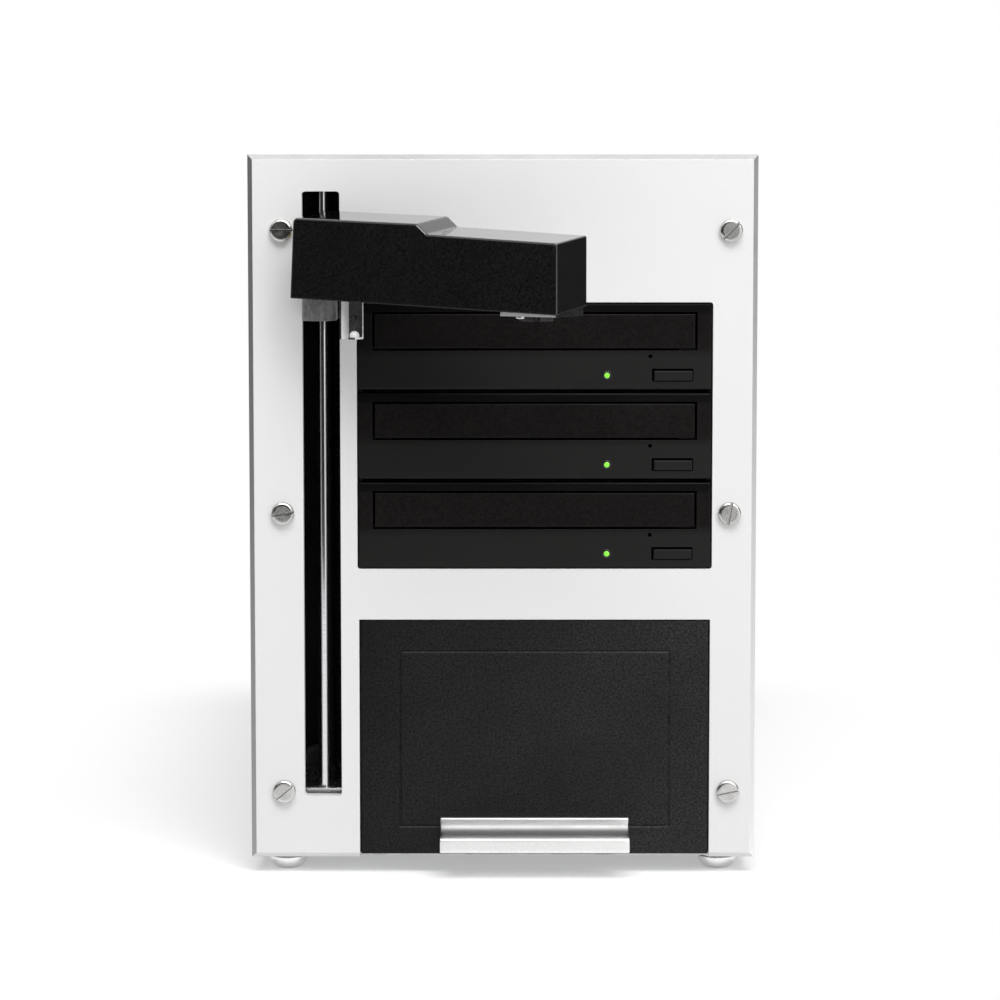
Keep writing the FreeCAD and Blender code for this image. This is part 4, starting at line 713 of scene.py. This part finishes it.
def screw_heads(name, places, along, out, size, body, replaces=()):
    """A piece of equal heads: each place is its middle and the turn of its slot, in degrees, along and out
    are the directions at no turn, and size holds the sizes of one head by name."""
    along, out = np.asarray(along, float), np.asarray(out, float)
    across = np.cross(out, along)
    head = slotted_head(**size)
    sheets, radii = [], []
    for spot, turn in places:
        c, d = math.cos(math.radians(turn)), math.sin(math.radians(turn))
        for grid, round_rows, round_columns in head:
            sheets.append((set_out(grid, spot, c * along + d * across, c * across - d * along, out),
                           round_rows, round_columns))
            radii.append(np.hypot(grid[..., 0], grid[..., 1]).reshape(-1))
    surface_piece(name, sheets, "turned_head", body, replaces, 30, np.concatenate(radii))


print("screw helpers ready")

# %% [markdown]
# The face of a turned screw has fine rings round its middle. The rings follow each point's distance from
# its own screw, which the piece carries as an attribute, since Object coordinates know only one middle.


# %% Finish of turned heads
def trace_of(tree):
    """The attribute trace that a piece carries."""
    mark = add(tree, "Attribute")
    mark.attribute_name = "trace"
    return mark.outputs["Fac"]


material, tree, shader, place = start_material("turned_head", Metallic=1.0)
cuts = add(tree, "TexNoise", Scale=9.0, Detail=3.0)
cuts.noise_dimensions = "1D"
feed(tree, cuts, W=trace_of(tree))
bright = mix_colours(tree, cuts.outputs["Fac"], (0.60, 0.595, 0.58), (0.74, 0.735, 0.72))
smudge = place_group(tree, soft_blotches, place, Scale=160)
head_gloss = place_group(tree, soft_blotches, place, Scale=260, Low=0.16, High=0.3)
feed(tree, shader, Base_Color=mix_colours(tree, smudge["Value"], bright, (0.55, 0.545, 0.53)),
     Roughness=head_gloss["Value"])
bumped(tree, shader, cuts.outputs["Fac"], 0.00002)
finishes["turned_head"] = material
print("finish", material.name)

# %% [markdown]
# The panel's screws stand in two columns of three, and their slots are turned as the photograph shows them.

# %% Panel screws
panel_front, panel_rows = box_of("front_panel")[0][1], (35.8, 154.7, 273.9)
panel_columns = ((-92.85, (40, 8, 0)), (95.65, (12, 80, 45)))
panel_places = [((x, panel_front, z), turn) for x, turns in panel_columns
                for z, turn in zip(panel_rows, turns)]
panel_head = dict(radius=4.9, rise=2.6, slot_width=1.3, slot_depth=1.2, round_by=1.3)
screw_heads("panel_screw_heads", panel_places, (1, 0, 0), (0, -1, 0), panel_head, "cabinet", ["panel_screws"])

# %% [markdown]
# The feet are turned cups: a short straight rim with a groove under it, then a round bowl down to a flat.
# A turned piece is a profile carried round an axis, so one row of the grid is the profile at one angle.
# The bowl is painted darker towards the floor, and so is the groove: a painted shade, for the shadow where
# the cup meets the floor and in the groove. The piece carries how dark each point of the profile is, and
# the finish reads it.


# %% Feet
def turned(profile, middle, out, steps=48):
    """A profile of (radius, height) carried round an axis through middle, which is square to x: the radius
    turns in the plane across the axis, and the height goes out along it."""
    along = np.array([1.0, 0, 0])
    across = np.cross(out, along)
    angle = np.linspace(0, 2 * math.pi, steps, endpoint=False)[:, None]
    radius, height = np.asarray(profile, float).T
    local = np.stack(np.broadcast_arrays(radius * np.cos(angle), radius * np.sin(angle), height), -1)
    return set_out(local, middle, along, across, out), True, False


def darken_by_trace(finish, dark):
    """The finish of that name, going over to a dark grey as the attribute trace goes from 0 to 1."""
    tree, shader, place, clean = reopen(finishes[finish])
    feed(tree, shader, Base_Color=mix_colours(tree, trace_of(tree), clean, dark))


foot_radius, foot_height, groove_radius, bowl_round = 8.2, box_of("feet")[1][2], 7.85, 4.8
bowl = np.linspace(0, math.pi / 2, 14)
foot_profile = np.concatenate([
    [(0, foot_height), (foot_radius, foot_height), (foot_radius, 5.9), (groove_radius, 5.7),
     (groove_radius, 5.45), (foot_radius, 5.25), (foot_radius, 4.9)],
    np.stack([foot_radius - bowl_round * (1 - np.cos(bowl)), bowl_round * (1 - np.sin(bowl))], -1), [(0, 0)]])
foot_painted_shade = np.concatenate([(0, 0, 0, 0.8, 0.8, 0, 0), 0.85 * np.linspace(0, 1, len(bowl)) ** 2, [1]])
foot_spots = [(x, y, 0) for x in (-92.25, 92.25) for y in (-135, 215)]
cups = [turned(foot_profile, spot, (0, 0, 1)) for spot in foot_spots]
rounds = sum(len(points) for points, _, _ in cups)
surface_piece("foot_cups", cups, "foot_silver", "cabinet", ["feet"],
              values=np.tile(foot_painted_shade, rounds))
# Painted shade on the feet: darker towards the floor and in the groove.
darken_by_trace("foot_silver", 0.10)

# %% [markdown]
# Each status light is a domed green lens in a dark ring. Both are turned, and both stand a little proud of
# the drive's face, so that the ring throws its thin shadow.

# %% Status lights
light_across, light_rise = np.mean(box_of("drive_lights"), axis=0)[0], 6.0
lens_radius, ring_round = 1.15, 0.4
light_spots = [(light_across, drive_front, drive_foot + light_rise + k * drive_pitch) for k in (2, 1, 0)]
dome = np.linspace(0, math.pi / 2, 9)
lens_profile = np.stack([lens_radius * np.sin(dome), 0.45 * np.cos(dome)], -1)
lens_profile = np.concatenate([lens_profile, [(lens_radius, -1.0), (0, -1.0)]])
ring_turn = np.linspace(0, math.pi, 9)
ring_middle, ring_foot = lens_radius + ring_round, -0.4
ring_top = np.stack([ring_middle - ring_round * np.cos(ring_turn), 0.1 + 0.25 * np.sin(ring_turn)], -1)
ring_profile = np.concatenate([[(lens_radius, ring_foot)], ring_top,
                               [(ring_middle + ring_round, ring_foot), (lens_radius, ring_foot)]])
surface_piece("light_lenses", [turned(lens_profile, spot, (0, -1, 0), 32) for spot in light_spots],
              "light_green", "cabinet", ["drive_lights"])
surface_piece("light_rings", [turned(ring_profile, spot, (0, -1, 0), 32) for spot in light_spots],
              "gloss_black", "cabinet")

# %% [markdown]
# The drawer is pulled by an aluminium bar: a scooped top that fingers slide over, a thick rounded lip, and
# a hollow underneath. It is one profile carried along the drawer, drawn in a little at both ends so that
# the ends are softened too. The scoop is dull in the photograph and gets darker down to the lip, as the
# hollow lies in shade, so the piece carries how deep in the scoop each point lies, and the finish is painted
# darker there: a painted shade.


# %% Drawer pull
def arc(middle, radius, start, end, count):
    """Points of a circle's arc, from one angle to the other, in degrees."""
    angle = np.radians(np.linspace(start, end, count))
    return np.stack([middle[0] + radius * np.cos(angle), middle[1] + radius * np.sin(angle)], -1)


def carried(profile, stations):
    """A closed profile of (y, z) carried along x: at each station (x, inset) every point moves inwards by
    the inset, square to the line between its two neighbours."""
    run = np.roll(profile, -1, axis=0) - np.roll(profile, 1, axis=0)
    inward = np.stack([-run[:, 1], run[:, 0]], -1) / np.hypot(run[:, 0], run[:, 1])[:, None]
    x, inset = stations[:, 0, None], stations[:, 1, None]
    return np.stack(np.broadcast_arrays(x, profile[:, 0] + inset * inward[:, 0],
                                        profile[:, 1] + inset * inward[:, 1]), -1)


over = np.concatenate([
    [(-149.5, 24.3)], arc((-150.8, 23.8), 0.5, 90, 180, 7), arc((-157.1, 24.3), 5.8, -6, -88, 18),
    np.linspace((-158.2, 18.5), (-162.6, 18.5), 4), arc((-163.1, 17.1), 1.4, 90, 180, 8),
    np.linspace((-164.5, 16.3), (-164.5, 13.9), 4), arc((-163.5, 13.1), 1.0, 180, 270, 6)])
under = np.concatenate([
    np.linspace((-149.5, 12.1), (-151.0, 12.1), 7), [(-151.3, 12.4)],
    np.linspace((-151.3, 12.8), (-151.3, 15.0), 9), arc((-152.6, 15.4), 1.3, 0, 90, 9),
    np.linspace((-153.5, 16.7), (-160.0, 16.7), 4), arc((-161.4, 15.4), 1.3, 90, 180, 8),
    np.linspace((-162.7, 14.8), (-162.7, 13.2), 4), np.linspace((-162.7, 12.8), (-162.9, 12.1), 6)])
pull_outline = np.concatenate([over, under[::-1]])
pull_ends, soften = [corner[0] for corner in box_of("drawer_handle")], 0.5
quarter = np.linspace(0, math.pi / 2, 5)
inwards, drawn_in = soften * (1 - np.cos(quarter)), soften * (1 - np.sin(quarter))
pull_stations = np.concatenate([
    np.stack([pull_ends[0] + inwards, drawn_in], -1),
    np.stack([np.linspace(pull_ends[0] + 5, pull_ends[1] - 5, 12), np.zeros(12)], -1),
    np.stack([pull_ends[1] - inwards, drawn_in], -1)[::-1]])
pull = carried(pull_outline, pull_stations)
left_cap = np.stack([pull[0, len(over):][::-1], pull[0, :len(over)]])
right_cap = np.stack([pull[-1, :len(over)], pull[-1, len(over):][::-1]])
# The top has 8 points before the scoop, 18 down it, 4 across to the lip and 18 round the lip.
shade_down_scoop = np.interp(np.arange(18), (0, 2, 4, 9, 17), (0.25, 0.35, 0.72, 0.8, 0.9))
scooped = np.concatenate([np.zeros(8), shade_down_scoop, np.linspace(0.9, 0.5, 4), np.zeros(18)])
shade_around_bar = np.concatenate([scooped, np.zeros(len(under))])
shade_on_end_cap = np.concatenate([np.zeros(len(over)), scooped])
pull_painted_shade = np.concatenate([np.tile(shade_around_bar, len(pull)), shade_on_end_cap, np.roll(shade_on_end_cap, len(over))])
surface_piece("drawer_pull", [(pull, False, True), (left_cap, False, False), (right_cap, False, False)],
              "handle_aluminium", "drawer", ["drawer_handle"], 40, pull_painted_shade)
# Painted shade in the scoop: darker down towards the lip.
darken_by_trace("handle_aluminium", 0.09)

# %% [markdown]
# The drawer front is a plate with soft edges and an engraved frame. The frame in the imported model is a
# square channel, but the photograph shows its level lines catching the light, so it has sloping sides.
# The front is therefore a height field: over every point of a grid it says how deep the surface lies, and
# the grid has lines along the channel's edges and floor, so that its corners come out mitred and sharp.


# %% Drawer front
def lines_between(low, high, soften, marks, count=14):
    """Grid lines from low to high: close together in the softened edges, at every mark, and spread out
    between."""
    edge = soften * (1 - np.cos(np.linspace(0, math.pi / 2, 6)))
    return np.unique(np.round(np.concatenate([low + edge, high - edge, marks,
                                              np.linspace(low + 2, high - 2, count)]), 4))


def plate_depth(x, z, sides, soften):
    """How far a plate's front falls back near its edges: the quarter circle of that radius."""
    from_x = np.minimum(x - sides[0], sides[1] - x)
    from_z = np.minimum(z - sides[2], sides[3] - z)
    over_x, over_z = np.clip(soften - from_x, 0, None), np.clip(soften - from_z, 0, None)
    return soften - np.sqrt(np.clip(soften ** 2 - over_x ** 2 - over_z ** 2, 0, None))


def engraved_depth(x, z, middle, half, half_width, depth):
    """A channel with sloping sides along a rectangle: the depth falls evenly to none at its half width from
    the rectangle's line."""
    off_line = np.maximum(np.abs(x - middle[0]) - half[0], np.abs(z - middle[1]) - half[1])
    return depth * np.clip(1 - np.abs(off_line) / half_width, 0, None)


def plate_sheets(x, z, y, back):
    """A plate from its front, given as depths over a grid: the front, then a wall round its rim that goes to
    the back and closes there at the middle."""
    front = np.stack([x, y, z], -1)
    loop = np.concatenate([front[0, :-1], front[:-1, -1], front[-1, :0:-1], front[:0:-1, 0]])[::-1]
    rear = loop * (1, 0, 1) + (0, back, 0)
    middle = np.broadcast_to(rear.mean(0), rear.shape)
    return [(front, False, False), (np.stack([loop, rear, middle]), False, True)]


(left, drawer_front, bottom), (right, drawer_back, top) = box_of("drawer_front")
drawer_sides, drawer_soft = (left, right, bottom, top), 0.7
frame_middle, frame_half, frame_wide, frame_deep = (13.45, 58.15), (57.05, 37.6), 0.75, 0.6
steps = np.array([-frame_wide, 0, frame_wide])
marks_x, marks_z = (np.concatenate([middle + side * half + steps for side in (-1, 1)])
                    for middle, half in zip(frame_middle, frame_half))
x, z = np.meshgrid(lines_between(*drawer_sides[:2], drawer_soft, marks_x),
                   lines_between(*drawer_sides[2:], drawer_soft, marks_z))
y = (drawer_front + plate_depth(x, z, drawer_sides, drawer_soft)
     + engraved_depth(x, z, frame_middle, frame_half, frame_wide, frame_deep))
surface_piece("drawer_face", plate_sheets(x, z, y, drawer_back), "drawer_black", "drawer",
              ["drawer_front"], 25)

# %% [markdown]
# A small screw holds the bright lip under the tip of the arm. It is made like the panel screws, turned to
# look down, and it rides on the arm.

# %% Lip screw
lip_spot, lip_turn = (6.9, -221.9, box_of("arm_frame")[0][2]), 25
lip_head = dict(radius=2.0, rise=1.1, slot_width=0.6, slot_depth=0.5, round_by=0.6)
screw_heads("lip_screw", [(lip_spot, lip_turn)], arm_along, (0, 0, -1), lip_head, "arm")

# %% [markdown]
# The sensor's bracket holds a small dark eye in its window, and a white rivet stands on its lower tab. Both
# are set out along the arm from the pivot, as the bracket is. The eye is a small plate with soft edges, made
# like the drawer front, and the rivet is turned.

# %% Sensor eye and rivet
arm_pivot = np.round(np.mean(box_of("pivot_pin"), axis=0), 3) * (1, 1, 0)
sheet_thick, eye_soft, eye_front, eye_back = 0.8, 0.4, -4.4, -2.6
tab_top = box_of("sensor_bracket")[0][2] + sheet_thick
eye_sides = (18.65, 21.75, tab_top + 5.9, tab_top + 9.0)
x, z = np.meshgrid(*(lines_between(*ends, eye_soft, [], 2) for ends in (eye_sides[:2], eye_sides[2:])))
eye = plate_sheets(x, z, eye_front + plate_depth(x, z, eye_sides, eye_soft), eye_back)
surface_piece("sensor_eye", [(set_out(grid, arm_pivot, arm_along, arm_across, (0, 0, 1)), rows, columns)
                             for grid, rows, columns in eye], "gloss_black", "arm")
rivet_radius = 2.0
rivet_dome = np.stack([rivet_radius * np.sin(dome), 0.8 + 1.8 * np.cos(dome)], -1)
rivet_profile = np.concatenate([rivet_dome, [(rivet_radius, 0), (0, 0)]])
rivet_spot = set_out(np.array([22.1, -7.2, tab_top]), arm_pivot, arm_along, arm_across, (0, 0, 1))
surface_piece("sensor_rivet", [turned(rivet_profile, rivet_spot, (0, 0, 1), 32)],
              "cover_white", "arm")

# %% [markdown]
# The cover is held by three screws on each side, and the back carries the screws of the fan, of the power
# supply and of the rear panel itself. They are out of the photograph's sight, but such a machine has them
# there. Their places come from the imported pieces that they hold.

# %% Screws of the cover and the back
low, high = box_of("cover_screws")
cover_radius, cover_side = (high[2] - low[2]) / 2, box_of("wrap_cover")[1][0]
cover_rows = np.linspace(low[1] + cover_radius, high[1] - cover_radius, 3)
cover_height = (low[2] + high[2]) / 2
cover_head = dict(radius=cover_radius, rise=1.2, slot_width=0.9, slot_depth=0.6, round_by=0.6)
for side, hand in ((-1, "left"), (1, "right")):
    screw_heads(f"cover_screw_heads_{hand}",
                [((side * cover_side, y, cover_height), turn) for y, turn in zip(cover_rows, (15, 70, 140))],
                (0, 1, 0), (side, 0, 0), cover_head, "cabinet", ["cover_screws"])
back_face, turn_step = box_of("rear_panel")[1][1], 37
back_spots = [(x, z) for box, inset in ((box_of("power_supply"), 5.0), (box_of("fan_frame"), 4.25))
              for x in (box[0][0] + inset, box[1][0] - inset) for z in (box[0][2] + inset, box[1][2] - inset)]
back_spots += [(x, z) for x in (-99.0, 99.0) for z in (18.0, 150.0)]
back_head = dict(radius=2.9, rise=1.4, slot_width=0.8, slot_depth=0.7, round_by=0.7)
screw_heads("back_screw_heads", [((x, back_face, z), turn_step * k) for k, (x, z) in enumerate(back_spots)],
            (1, 0, 0), (0, 1, 0), back_head, "cabinet")
